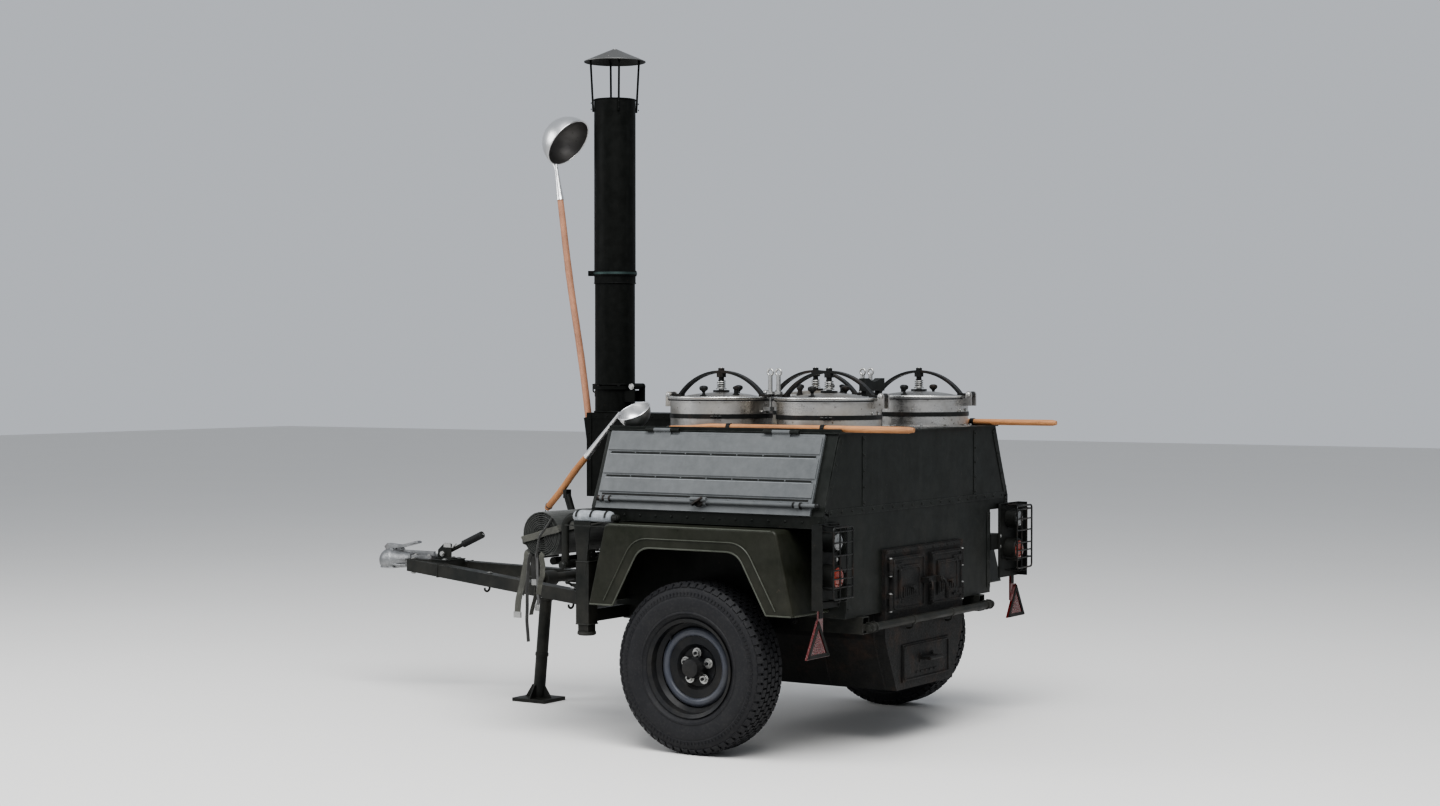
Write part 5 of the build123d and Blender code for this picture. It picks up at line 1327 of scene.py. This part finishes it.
def lampTrim(name, side):
    x, y = lampSet["x"], side * lampSet["y"]
    for label, (z, r), coat in (("Upper", lampSet["upper"], "clearLens"),
                                ("Lower", lampSet["lower"], "orangeLens")):
        radius = r / 1000
        glass = bmesh.new()
        dome = ((0.86, -0.002), (0.86, 0.004), (0.8, 0.0075), (0.6, 0.0105), (0.3, 0.012), (0, 0.0124),
                (0, -0.002))
        addTurned(glass, [(radius * a, b) for a, b in dome], at(x, y, z), (-1, 0, 0), 40)
        for k in range(5):
            addRing(glass, at(x - 9.5 + 0.308 * k * k, y, z), radius * (0.14 + 0.15 * k), 0.0009, (-1, 0, 0),
                    36, 5)
        makePiece("lamp" + label + "Lens_" + name, glass, "chassis", coat, mend=False)
        rim = bmesh.new()
        bezel = ((0.86, -0.004), (1.02, -0.004), (1.03, -0.001), (1.02, 0.004), (0.95, 0.007), (0.86, 0.0055),
                 (0.86, -0.004))
        addTurned(rim, [(radius * a, b) for a, b in bezel], at(x, y, z), (-1, 0, 0), 44)
        addCollar(rim, at(x + 0.5, y, z), (1, 0, 0), 44, r, r + 2.2, 0, 39)
        for t in (0.5, 2.6, 4.7):
            addStud(rim, at(x - 5.4, y + r * 0.95 * cos(t), z + r * 0.95 * sin(t)), (-1, 0, 0), 12, (3.6, 0),
                    (3.6, 1.8), (0, 2.4))
        makePiece("lamp" + label + "Rim_" + name, rim, "chassis", "lampBlack", mend=False)
    # guard: a frame of rod before the lamps, bars across, and arms back to the board
    guard = bmesh.new()
    wire = lampSet["wire"]
    front = x - lampSet["guardReach"]
    low, high, inner, outer = lampSet["guard"]
    ring = [(inner, low), (outer, low), (outer, high), (inner, high), (inner, low)]
    addTube(guard, roundedPath([at(front, side * a, b) for a, b in ring], 0.014, 5), wire * 1.25, 8)
    for z in (606, 635, 664, 712, 755, 792):
        bar = [at(front, side * inner, z), at(front, side * outer, z)]
        if z in (606, 792):
            bar = [at(-507, side * inner, z)] + bar + [at(-507, side * outer, z)]
        addTube(guard, bar, wire, 8)
    for across in (682, 728):
        bar = [(-508, low - 12), (front, low - 12), (front, high), (-508, high + 3)]
        addTube(guard, roundedPath([at(a, side * across, b) for a, b in bar], 0.012, 4), wire, 8)
    makePiece("lampGuard_" + name, guard, "chassis", "blackSteel", mend=False)
    # board: turned edges and bolts
    board = bmesh.new()
    edge = [at(-511, side * 622, 532), at(-511, side * 622, 813), at(-511, side * 789, 813)]
    addTube(board, roundedPath(edge, 0.008, 4), 0.0028, 8)
    makePiece("lampBoardEdge_" + name, board, "chassis", "lampBlack", mend=False)
    spots = row(at(-509.5, side * 634, 650), at(-509.5, side * 634, 690), 2, (-1, 0, 0))
    spots += row(at(-509.5, side * 780, 560), at(-509.5, side * 780, 785), 2, (-1, 0, 0))
    setOut("lampBoardBolts_" + name, "bolt", spots, "chassis", "wornSteel", 0.0095, 0.005)


def reflectorTrim(name, side):
    mid = side * 765
    corners = [Vector((mid - 75, 370)), Vector((mid + 75, 370)), Vector((mid, 497.5))]
    centre = sum(corners, Vector((0, 0))) / 3

    def inset(share, x):
        return [at(x, *(c + (centre - c) * share)) for c in corners]

    frame = bmesh.new()
    outer, inner = inset(0.05, -513.2), inset(0.30, -513.2)
    top, low = inset(0.05, -517), inset(0.30, -516)
    rings = [[frame.verts.new(p) for p in points] for points in (outer, top, low, inner)]
    for a, b in zip(rings, rings[1:] + rings[:1]):
        for k in range(3):
            frame.faces.new((a[k], a[(k + 1) % 3], b[(k + 1) % 3], b[k]))
    for c in corners:
        p = c + (centre - c) * 0.17
        addStud(frame, at(-516.2, *p), (-1, 0, 0), 14, (4.5, 0), (4.5, 1.8), (2, 3), (0, 3))
    makePiece("reflectorFrame_" + name, frame, "chassis", "lampBlack")
    # moulded prisms in rows inside the frame
    spots = []
    for j in range(9):
        z = 388 + j * 8.2
        for k in range(-7, 8):
            y = mid + (k + 0.5 * (j % 2)) * 8.6
            share = (z - 370) / 127.5
            if abs(y - mid) < 75 * (1 - share) * 0.98 - 21:
                spots.append((at(-513.4, y, z), Vector((-1, 0, 0)), axisZ))
    setOut("reflectorPrisms_" + name, "rivet", spots, "chassis", "redLens", 0.0078, 0.004)
    hanger = bmesh.new()
    near, far = sorted((side * 728, side * 752))
    addBox(hanger, at(-510, near, 500), at(-506, far, 548))
    makePiece("reflectorHanger_" + name, hanger, "chassis", "lampBlack", bevel=0.001)


for name, side in sides.items():
    lampTrim(name, side)
    reflectorTrim(name, side)
print("lamps and reflectors made")


# Fire doors, ash drawer, firebox seams and the rear rail's clamps
fireSet = {"doorX": -514.4, "leaf": (28.0, 268.0, 480.0, 670.0), "panel": (68.0, 228.0, 513.0, 637.0),
           "hinge": (-522.4, 278.0), "vents": 6, "seams": (-470.0, -250.0, -30.0, 190.0, 285.0)}


# A rod round a rectangle in a plane across the trailer
def addFrame(bm, x, low, high, corner, radius):
    (y0, z0), (y1, z1) = low, high
    loop = [at(x, y, z) for y, z in ((y0, z0), (y1, z0), (y1, z1), (y0, z1), (y0, z0))]
    addTube(bm, roundedPath(loop, corner, 5), radius, 8)


def doorTrim(name, side):
    body = "fire_door_" + name
    x = fireSet["doorX"] - 12
    y0, y1, z0, z1 = fireSet["leaf"]
    bm = bmesh.new()
    addFrame(bm, x - 1, (side * (y0 + 8), z0 + 8), (side * (y1 - 8), z1 - 8), 0.012, 0.0036)
    y0, y1, z0, z1 = fireSet["panel"]
    addFrame(bm, x - 5.4, (side * (y0 + 9), z0 + 9), (side * (y1 - 9), z1 - 9), 0.016, 0.0026)
    # draught slide: a plate on the panel with slots, and its knob
    slide = at(x - 5, side * 148, 545)
    addBox(bm, at(x - 8.2, side * 148 - 52, 524), at(x - 5, side * 148 + 52, 564))
    for k in range(fireSet["vents"]):
        y = side * 148 + (k - 2.5) * 15.5
        addBox(bm, at(x - 10.4, y - 2.6, 530), at(x - 8, y + 2.6, 558))
    addStud(bm, slide + Vector((-0.0032, 0, 0.013)), (-1, 0, 0), 16, (4.5, 0), (4.5, 8), (8.5, 10), (8.5, 17),
            (0, 18))
    # latch: a bar over the meeting edge, its pivot and a turned-out handle with a coil grip
    if side > 0:
        addBand(bm, [at(x - 14, -34, 575), at(x - 14, 40, 575)], 0.024, 0.005, axisZ)
    grip = [at(x - 30, side * 46, 575), at(x - 42, side * 50, 570), at(x - 47, side * 56, 548),
            at(x - 47, side * 60, 505)]
    addTube(bm, smoothPath(grip, 5), 0.0052, 10)
    coil = []
    for k in range(81):
        t = tau * k / 10
        coil.append(at(x - 47 + 8.4 * cos(t), side * 59.4 + 8.4 * sin(t), 549 - 5.5 * k / 10))
    addTube(bm, coil, 0.0017, 5)
    addStud(bm, at(x - 32.3, side * 46, 575), (-1, 0, 0), 18, (11, 0), (11, 3), (6, 6), (0, 6))
    # strap hinges across the leaf
    for z in (513, 637):
        low, high = sorted((side * 196, side * 262))
        addBox(bm, at(x - 4.2, low, z - 11), at(x, high, z + 11))
        for y in (208, 236):
            addStud(bm, at(x - 4.2, side * y, z), (-1, 0, 0), 12, (6, 0), (5.5, 2), (3, 3.6), (0, 4))
    makePiece("doorTrim_" + name, bm, body, "firebox", bevel=0.0006, mend=False)
    pins = bmesh.new()
    x, y = fireSet["hinge"]
    for z in (513, 637):
        for step in (-1, 1):
            addStud(pins, at(x, side * y, z + step * 29.2), (0, 0, step), 14, (7.2, 0), (7.2, 3), (4, 5.5),
                    (0, 5.5))
    makePiece("doorPins_" + name, pins, "chassis", "wornSteel")


def drawerTrim():
    bm = bmesh.new()
    x = -519.4
    addFrame(bm, x - 1.2, (-171, 228), (171, 346), 0.012, 0.0034)
    for y in (-46, 46):
        addBox(bm, at(x - 2.5, y - 9, 280), at(x, y + 9, 312))
        addStud(bm, at(x - 2.5, y, 307), (-1, 0, 0), 12, (6, 0), (5.5, 2), (0, 4))
    addTube(bm, [at(-558, -50, 296), at(-558, 50, 296)], 0.0068, 12)
    for k in range(5):
        y = (k - 2) * 34
        addBox(bm, at(x - 2.2, y - 11, 244), at(x, y + 11, 251))
    makePiece("drawerTrim", bm, "ash_drawer", "firebox", bevel=0.0006, mend=False)


def fireboxTrim():
    bm = bmesh.new()
    spots = []
    for side in sides.values():
        # welded seams down the sloping side, and the flange along its upper edge
        for x in fireSet["seams"]:
            seam = [at(x, side * y, z) for y, z in ((300.8, 470), (300.8, 384), (296.5, 370), (216.5, 199))]
            addTube(bm, seam, 0.0034, 8)
        addStrip(bm, [at(-508, side * 300, 416), at(294, side * 300, 416)], 0.03, 0.003, (0, side, 0))
        spots += row(at(-490, side * 303.2, 416), at(280, side * 303.2, 416), 13, (0, side, 0))
        # drain pipe of a boiler beside the firebox, with a tap
        z = 470
        for x in (140, -250):
            bends = ((440, 620), (440, z + 20), (446, z), (470, z - 14), (500, z - 14))
            addTube(bm, roundedPath([at(x, side * a, b) for a, b in bends], 0.014, 4), 0.0095, 12)
            addCollar(bm, at(x, side * 476, z - 14), (0, side, 0), 6, 9.5, 15.5, 0, 18)
            addStud(bm, at(x, side * 485, z - 5), (0, 0, 1), 10, (6, 0), (6, 20), (0, 20))
            addBox(bm, at(x - 24, side * 485 - 4, z + 14), at(x + 8, side * 485 + 4, z + 18))
    addStrip(bm, [at(-514, -296, 690), at(-514, 296, 690)], 0.014, 0.003, (-1, 0, 0))
    spots += row(at(-517, -286, 690), at(-517, 286, 690), 11, (-1, 0, 0))
    makePiece("fireboxSeams", bm, "chassis", "firebox", mend=False)
    setOut("fireboxRivets", "rivet", spots, "chassis", "firebox", 0.0105, 0.005)


def rearRail():
    bm = bmesh.new()
    for side in sides.values():
        addStud(bm, at(-545, side * 480, 445), (0, side, 0), 22, (12.5, 0), (12, 4), (6, 7), (0, 7))
        for step in (-16, 16):
            y = side * 450 + step
            loop = roundY(-545, y, 445, 15, 10, pi / 2, pi)
            addTube(bm, [at(-531, y, 460)] + loop + [at(-531, y, 430)], 0.0032, 8)
    for y in (-150, 150):
        addBand(bm, roundY(-545, y, 445, 14.8, 20), 0.016, 0.0016)
        hook = [at(x, y, z) for x, z in ((-545, 430), (-545, 418), (-530, 412), (-518, 414))]
        addTube(bm, roundedPath(hook, 0.006, 3), 0.0035, 8)
    makePiece("railTrim", bm, "chassis", "frame", mend=False)


for name, side in sides.items():
    doorTrim(name, side)
drawerTrim()
fireboxTrim()
rearRail()
print("firebox, doors and rear rail trim made")


# Drawbar: welded gussets, seams and bolts; coupling details; handbrake; prop stand; corner legs
drawSet = {"rear": Vector((481.0, 400.0, 450.0)), "front": Vector((1860.0, 34.0, 520.0))}


def onArm(share, side, up=0.0, out=0.0):
    p = drawSet["rear"].lerp(drawSet["front"], share)
    ahead = (drawSet["front"] - drawSet["rear"]).normalized()
    away = Vector((-ahead.y, ahead.x, 0)).normalized()
    p = p + away * out + Vector((0, 0, up))
    return at(p.x, side * p.y, p.z)


def drawbarTrim():
    bm = bmesh.new()
    spots = []
    for side in sides.values():
        ahead = (onArm(1, side) - onArm(0, side)).normalized()
        across = axisZ.cross(ahead).normalized()
        turn = Matrix((ahead, across, ahead.cross(across))).transposed()
        # bolted plates over and under the arm where it meets the body's front
        for up in (26.5, -26.5):
            addBox(bm, (0.004, -0.036, -0.003), (0.15, 0.036, 0.003), turn, onArm(0, side, up))
            for far in (0.045, 0.115):
                place = onArm(0, side, up + copysign(4, up)) + ahead * far
                spots.append((place, Vector((0, 0, copysign(1, up))), ahead))
        # weld beads round the arm at the nose block and the cross tube
        for share in (0.845, 0.005):
            square = ((-1, -1), (1, -1), (1, 1), (-1, 1), (-1, -1))
            loop = [onArm(share, side) + turn @ (Vector((0, y, z)) * 0.0256) for y, z in square]
            addTube(bm, loop, 0.0034, 8)
        share = (1180 - 481) / (1860 - 481)
        wide = 400 + (34 - 400) * share
        addRing(bm, at(1180, side * (wide - 27.5), 492), 0.0195, 0.0036, (0, 1, 0), 28)
        # the brake pipe with its clips along the inside of the left arm, and rope hooks
        if side > 0:
            pipe = [onArm(s, side, -6 + 5 * sin(9 * s), -29.5) for s in (k / 22 for k in range(1, 19))]
            addTube(bm, smoothPath(pipe, 3), 0.0042, 8)
            for s in (0.15, 0.35, 0.55, 0.72):
                place = onArm(s, side, -6 + 5 * sin(9 * s), -28.5)
                addBox(bm, (-0.009, -0.007, -0.011), (0.009, 0.002, 0.011), turn, place)
        for s in (0.25, 0.62):
            spots.append((onArm(s, side, 27), axisZ, ahead))
            bends = ((-27, 0), (-40, 4), (-46, 14), (-40, 24), (-31, 25))
            addTube(bm, smoothPath([onArm(s, side, up, out) for up, out in bends], 4), 0.0042, 8)
    # plates welded over and under the joint of the two arms
    plate = [(1648, 64), (1648, -64), (1745, -60), (1745, 60)]
    for low, high in ((545.0, 548.0), (492.0, 495.0)):
        addPrism(bm, *([at(x, y, z) for x, y in plate] for z in (low, high)))
    makePiece("drawbarTrim", bm, "chassis", "frame", bevel=0.0006, mend=False)
    for x in (1670, 1835):
        for y in (-46, 46):
            spots.append((at(x, y, 549 if x < 1745 else 547), axisZ, axisX))
    setOut("drawbarBolts", "bolt", spots, "chassis", "wornSteel", 0.0165, 0.008)
    low = [(place - Vector((0, 0, 0.059)), Vector((0, 0, -1)), along) for place, _, along in spots[-4:]]
    setOut("drawbarNuts", "bolt", low, "chassis", "wornSteel", 0.0165, 0.009)


def couplingTrim():
    spots = [(at(x, y, 560.5), axisZ, axisX) for x in (1770, 1842) for y in (-23, 23)]
    spots += [(at(1873.2, y, 506), axisX, axisZ) for y in (-29, 29)]
    setOut("couplingBolts", "bolt", spots, "chassis", "wornSteel", 0.0145, 0.008)
    bm = bmesh.new()
    addRing(bm, at(1996, 0, 501.6), 0.0405, 0.0042, around=60, flat=0.8)
    for z in (516, 540):
        for side in sides.values():
            addTube(bm, [at(1884, side * 37.5, z), at(1968, side * 31.0, z)], 0.0032, 8)
    # pivot, return spring and grip edge of the lock lever
    addTube(bm, [at(1978, -16, 572), at(1978, 16, 572)], 0.0065, 14)
    for side in sides.values():
        addStud(bm, at(1978, side * 14, 572), (0, side, 0), 16, (9.5, 0), (9.5, 4), (0, 4.5))
    coil = []
    for k in range(71):
        t = tau * k / 10
        coil.append(at(1958 - 34 * k / 70, 7.2 * cos(t), 576 + 7.2 * sin(t)))
    addTube(bm, coil, 0.0015, 5)
    grip = [at(1840, 0, 611), at(1858, 0, 608.5), at(1886, 0, 602)]
    for side in sides.values():
        addTube(bm, [p + Vector((0, side * 0.011, 0)) for p in grip], 0.0028, 8)
    makePiece("couplingTrim", bm, "chassis", "coupling", mend=False)


def handbrakeTrim():
    pivot, tip = at(1705, 0, 569.3), at(1510, 0, 655)
    back = (pivot - tip).normalized()
    bm = bmesh.new()
    rings = [(0.0, 0.001), (0.0125, 0.0), (0.0148, 0.004)]
    for k in range(9):
        start = k * 0.0108
        rings += [(0.0148, 0.009 + start), (0.0136, 0.0115 + start), (0.0136, 0.0135 + start),
                  (0.0148, 0.016 + start)]
    rings += [(0.0150, 0.106), (0.0110, 0.110), (0, 0.110)]
    addTurned(bm, rings, tip, back, 24)
    makePiece("brakeGrip", bm, "chassis", "rubber", mend=False)
    teeth = bmesh.new()
    top = [(1701 - 6 * k, 611.5 + (k % 2) * 3.2) for k in range(7)]
    outline = [(1702, 596)] + top + [(1664, 596)]
    addPrism(teeth, *([at(x, y, z) for x, z in outline] for y in (8.4, 14.6)))
    side = pivot + Vector((0, 0.0115, 0))
    pawl = [side - back * 0.05 + Vector((0, 0, 0.006)), side - back * 0.074 + Vector((0, 0, 0.013))]
    addTube(teeth, pawl, 0.0035, 8)
    addTube(teeth, [tip - back * 0.004, tip + back * 0.001], 0.0042, 10)
    for step in (-1, 1):
        addStud(teeth, at(1705, step * 17, 569.3), (0, step, 0), 6, (12, 0), (12, 3), (8.5, 3), (8.5, 9.5),
                (0, 10.5))
    for x in (1670, 1730):
        for y in (-14, 4):
            addStud(teeth, at(x, y, 553.3), (0, 0, 1), 6, (5.8, 0), (5.8, 4.5), (0, 5))
    makePiece("brakeTrim", teeth, "chassis", "wornSteel")


def standTrim():
    bm = bmesh.new()
    top, foot = at(1180, 0, 492), at(1225, 0, 14)
    down = (foot - top).normalized()
    # gusset webs from the tube to its foot plate, two collars, and the lock pin with its ring
    for turn in range(4):
        out = Matrix.Rotation(tau * turn / 4, 3, "Z") @ axisX
        side = axisZ.cross(out)
        corners = [foot + out * reach + Vector((0, 0, z))
                   for reach, z in ((0.023, 0), (0.064, 0), (0.03, 0.05), (0.018, 0.05))]
        addPrism(bm, *([p + side * half for p in corners] for half in (-0.0025, 0.0025)))
    addCollar(bm, top + down * 0.055, down, 32, 23.5, 28.5, 0, 30)
    addCollar(bm, top + down * 0.30, down, 32, 23.5, 27, 0, 12)
    makePiece("standTrim", bm, "prop_stand", "frame", bevel=0.0006)
    pin = bmesh.new()
    spot = top + down * 0.07
    addTube(pin, [spot + Vector((0, -0.036, 0)), spot + Vector((0, 0.033, 0))], 0.0052, 12)
    addRing(pin, spot + Vector((0, -0.0372, -0.0105)), 0.0105, 0.0016, (1, 0, 0), 20, 6)
    makePiece("standPin", pin, "prop_stand", "wornSteel")


# Corner legs in three draws: the leg, a middle tube, and the sleeve on the frame
legSet = {"place": (452, 742), "foot": (385, 33), "leg": (22, 18.6, 398, 690), "middle": (17, 14, 426, 688)}


def addSquareTube(bm, foot, tube):
    outer, inner, low, high = tube
    rings = [[bm.verts.new(foot + Vector((a * half, b * half, z)) / 1000)
              for a, b in ((-1, -1), (1, -1), (1, 1), (-1, 1))]
             for half, z in ((outer, low), (outer, high), (inner, high), (inner, low))]
    for first, second in zip(rings, rings[1:] + rings[:1]):
        for j in range(4):
            bm.faces.new((first[j], first[(j + 1) % 4], second[(j + 1) % 4], second[j]))


def legDraws(name, side):
    x, y = legSet["place"]
    foot = at(x, side * y, 0)
    body = "corner_leg_" + name
    leg = bmesh.new()
    addSquareTube(leg, foot, legSet["leg"])
    low, radius = legSet["foot"]
    addTurned(leg, [(0, 0), ((radius - 6) / 1000, 0), ((radius - 1.8) / 1000, 0.0018), (radius / 1000, 0.006),
                    (radius / 1000, 0.0138), (0, 0.0138)], foot + Vector((0, 0, low / 1000)), (0, 0, 1), 40)
    makePiece("legTube_" + name, leg, body, "frame", [body])
    middle = bmesh.new()
    addSquareTube(middle, foot, legSet["middle"])
    piece = makePiece("legMiddle_" + name, middle, None, "blackSteel", bevel=0.0008)
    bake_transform(piece)


def legTrim(name, side):
    fixed, moving = bmesh.new(), bmesh.new()
    x, across = legSet["place"]
    y = side * across
    # clamp screw with a T handle on the sleeve's front, and rolled edges at both mouths
    addStud(fixed, at(479.5, y, 560), (1, 0, 0), 6, (13, 0), (13, 12), (9.5, 14), (0, 14))
    addStud(fixed, at(492, y, 560), (1, 0, 0), 12, (6.2, 0), (6.2, 28), (0, 28))
    addTube(fixed, [at(516, y - 30, 548), at(516, y + 30, 572)], 0.0046, 10)
    for end in (-1, 1):
        addBall(fixed, at(516, y + end * 30, 560 + end * 12), 0.0075, 8, 12)
    for z in (426, 648):
        loop = [at(x + a * 28, y + b * 28, z) for a, b in ((-1, -1), (1, -1), (1, 1), (-1, 1), (-1, -1))]
        addTube(fixed, roundedPath(loop, 0.004, 3), 0.0026, 8)
    makePiece("sleeveTrim_" + name, fixed, "chassis", "frame", mend=False)
    marks = [(at(x + end * 22.2, y, z), Vector((end, 0, 0)), axisZ)
             for end, z in ((1, 414), (1, 422), (1, 664), (-1, 664), (1, 678), (-1, 678))]
    addTurned(moving, [(0.0315, 0), (0.0338, 0.0015), (0.0338, 0.006), (0.0325, 0.0075), (0.0315, 0)],
              at(x, y, 388), (0, 0, 1), 36)
    makePiece("legTrim_" + name, moving, "corner_leg_" + name, "frame")
    setOut("legHoles_" + name, "rivet", marks, "corner_leg_" + name, "blackSteel", 0.009, 0.001)


drawbarTrim()
couplingTrim()
handbrakeTrim()
standTrim()
for name, side in sides.items():
    legDraws(name, side)
    legTrim(name, side)
print("drawbar, stand and leg trim made")


# Ladles: rolled rims, tapered sockets and crooked wooden handles
toolSet = {
    "tall": {"bowl": (1075, 0, 2225), "r": 104, "open": (-0.8, 0, -0.6), "butt": (965, 0, 1050), "shank": 138,
             "grip": 14, "coat": "gripWood", "bow": (5.0, 0.4), "node": "tall_ladle", "socket": 13.0,
             "shadedInside": True},
    "short": {"bowl": (412, 505, 1178.3), "r": 62, "open": (0.1, 0.5, 0.85), "butt": (920, 350, 800),
              "shank": 260, "grip": 13, "coat": "shortWood", "bow": (2.5, 2.0), "node": "short_ladle",
              "socket": 12.0, "shadedInside": False},
}


def makeLadle(name, s):
    bowl, butt = Vector(s["bowl"]), Vector(s["butt"])
    opening = Vector(s["open"]).normalized()
    run = (butt - bowl).normalized()
    edge = (run - opening * run.dot(opening)).normalized()
    foot = bowl + edge * (s["r"] - 1)
    line = (butt - foot).normalized()
    r = s["r"] / 1000
    steel = bmesh.new()
    # beaten bowl: outer and inner skins, with a rolled rim
    shell = [(r * sin(t), -r * cos(t)) for t in (pi / 2 * k / 12 for k in range(13))]
    inner = [(p * 0.979, h * 0.979) for p, h in shell[::-1]]
    addTurned(steel, shell + inner, at(*bowl), opening, 56)
    addRing(steel, at(*bowl), r * 0.988, 0.0026, opening, 64, 8)
    # socket: flat tongue riveted to the bowl, widening into a cone that takes the handle
    start, end = at(*foot), at(*(foot + line * s["shank"]))
    ahead = (end - start).normalized()
    wide, long = s["socket"] / 1000, (end - start).length
    shaft = []
    for k in range(13):
        share = k / 12
        shaft.append((0.0066 + (wide + 0.0015 - 0.0066) * share ** 1.25, share * long))
    lip = [(wide + 0.0022, long + 0.002), (wide + 0.0022, long + 0.006), (0, long + 0.006)]
    addTurned(steel, [(0, 0)] + shaft + lip, start, ahead, 26)
    tongue = [start + ahead * 0.05, start + ahead * 0.012]
    for k in range(5):
        t = 0.16 + 0.14 * k
        tongue.append(at(*bowl) + (edge * cos(t) - opening * sin(t)) * (r + 0.0022))
    addBand(steel, smoothPath(tongue, 4), 0.021, 0.0028, opening.cross(edge))
    for k in (1, 3):
        t = 0.16 + 0.14 * k
        out = edge * cos(t) - opening * sin(t)
        addStud(steel, at(*bowl) + out * (r + 0.0034), out, 12, (5, 0), (4.5, 1.8), (2, 3), (0, 3))
    makePiece(name + "LadleHead", steel, "chassis", "ladleSteel", [s["node"] + "_head"], angle=50, mend=False)
    # painted shade: darker steel inside the tall ladle's bowl, which opens downwards
    if s["shadedInside"]:
        darkened = bmesh.new()
        front = [(p * 0.9785, h * 0.9785) for p, h in shell]
        back = [(p * 0.972, h * 0.972) for p, h in shell[::-1]]
        addTurned(darkened, front + back, at(*bowl), opening, 56)
        makePiece(name + "LadleInsideShade", darkened, "chassis", "ladleInsideShade", mend=False)
    # the handle: a natural stick, a little crooked, thicker towards the butt
    grip = bmesh.new()
    begin = foot + line * (s["shank"] - 6)
    length = (butt - begin).length
    sideways = axisY if abs(line.y) < 0.5 else axisX
    points, sizes = [], []
    count = 46
    for k in range(count + 1):
        share = k / count
        hump = sin(pi * share)
        off = sideways * s["bow"][1] * sin(2.3 * pi * share) * hump
        off = off + axisX * s["bow"][0] * sin(1.6 * pi * share + 0.4) * hump
        points.append(at(*(begin + line * length * share + off)))
        knot = 0.8 * exp(-((share - 0.31) / 0.02) ** 2) + 0.7 * exp(-((share - 0.66) / 0.02) ** 2)
        rough = 0.35 * noise.noise(Vector((share * 22, s["r"], 0)))
        sizes.append((s["grip"] - 1.6 + 1.2 * min(1, share * 3) + knot + rough) / 1000)
    sizes[-1] *= 0.82
    addTube(grip, points, sizes, 22)
    makePiece(name + "LadleGrip", grip, "chassis", s["coat"], [s["node"] + "_grip"], angle=60, mend=False)
    ring = bmesh.new()
    addRing(ring, points[-3], sizes[-3] + 0.0006, 0.0016, line, 28, 8)
    if name == "short":
        bends = ((0, 0, 0.004), (0.006, 0.006, -0.016), (0.002, 0.012, -0.044), (-0.006, 0.006, -0.052),
                 (-0.006, -0.002, -0.03), (0, 0, 0.004))
        thong = [points[-1] + Vector(p) for p in bends]
        addTube(ring, smoothPath(thong, 5), 0.0016, 6)
    makePiece(name + "LadleBand", ring, "chassis", "darkStrap", mend=False)


# Paddles: round stick that swells into a carved blade
paddleSet = {"left": (571.0, 95.0, "left_paddle"), "right": (-571.0, -60.0, "right_paddle"), "rear": -770.0,
             "z": 1128.3, "blade": 110.0}


def makePaddle(name):
    y, front, node = paddleSet[name]
    rear, z = paddleSet["rear"], paddleSet["z"]
    bm = bmesh.new()
    stations = []
    tip = front + paddleSet["blade"]
    for k in range(52):
        share = k / 51
        x = rear + 1 + (tip - rear - 2) * share
        toBlade = min(1, max(0, (x - front + 62) / 74))
        toBlade = toBlade * toBlade * (3 - 2 * toBlade)
        round_ = min(1, max(0, (tip - x) / 26)) ** 0.5
        butt = min(1, 0.62 + (x - rear) / 14)
        flat = 7.4 - 4.2 * min(1, max(0, (x - front) / 100))
        wobble = 0.45 * noise.noise(Vector((x / 55, y, 2.2)))
        wide = (11.4 + wobble) * (1 - toBlade) * butt + (25.6 * toBlade) * (0.42 + 0.58 * round_)
        tall = (11.4 + wobble) * (1 - toBlade) * butt + flat * toBlade
        drop = -1.2 * toBlade
        stations.append((x, wide, tall, drop, share))
    rings = []
    around = 24
    for x, wide, tall, drop, share in stations:
        squareness = 1.0 if wide < 16 else 0.72
        ring = []
        for t in circleAngles(around):
            c, q = cos(t), sin(t)
            out, up = wide * copysign(abs(c) ** squareness, c), tall * copysign(abs(q) ** squareness, q)
            ring.append(bm.verts.new(at(x, y + out, z + drop + up)))
        rings.append(ring)
    skin(bm, rings, lambda u, v: (u / around, stations[v][4]))
    makePiece(name + "PaddleWood", bm, "chassis", "wood", [node], angle=55)
    # spring clips on the deck that hold the stick
    clips = bmesh.new()
    for x in (-420, -150 if name == "right" else -40):
        turns = [radians(-38 + 256 * k / 18) for k in range(19)]
        arc = [at(x, y + 13.2 * cos(t), z + 13.2 * sin(t)) for t in turns]
        start, end = ([at(x, y + out, 1117.2) for out in outs] for outs in ((26, 14), (-14, -20)))
        addBand(clips, start + arc + end, 0.016, 0.0014, axisX)
    makePiece(name + "PaddleClips", clips, "chassis", "blackSteel", mend=False)


for name, values in toolSet.items():
    makeLadle(name, values)
for name in sides:
    makePaddle(name)
print("ladles and paddles made")
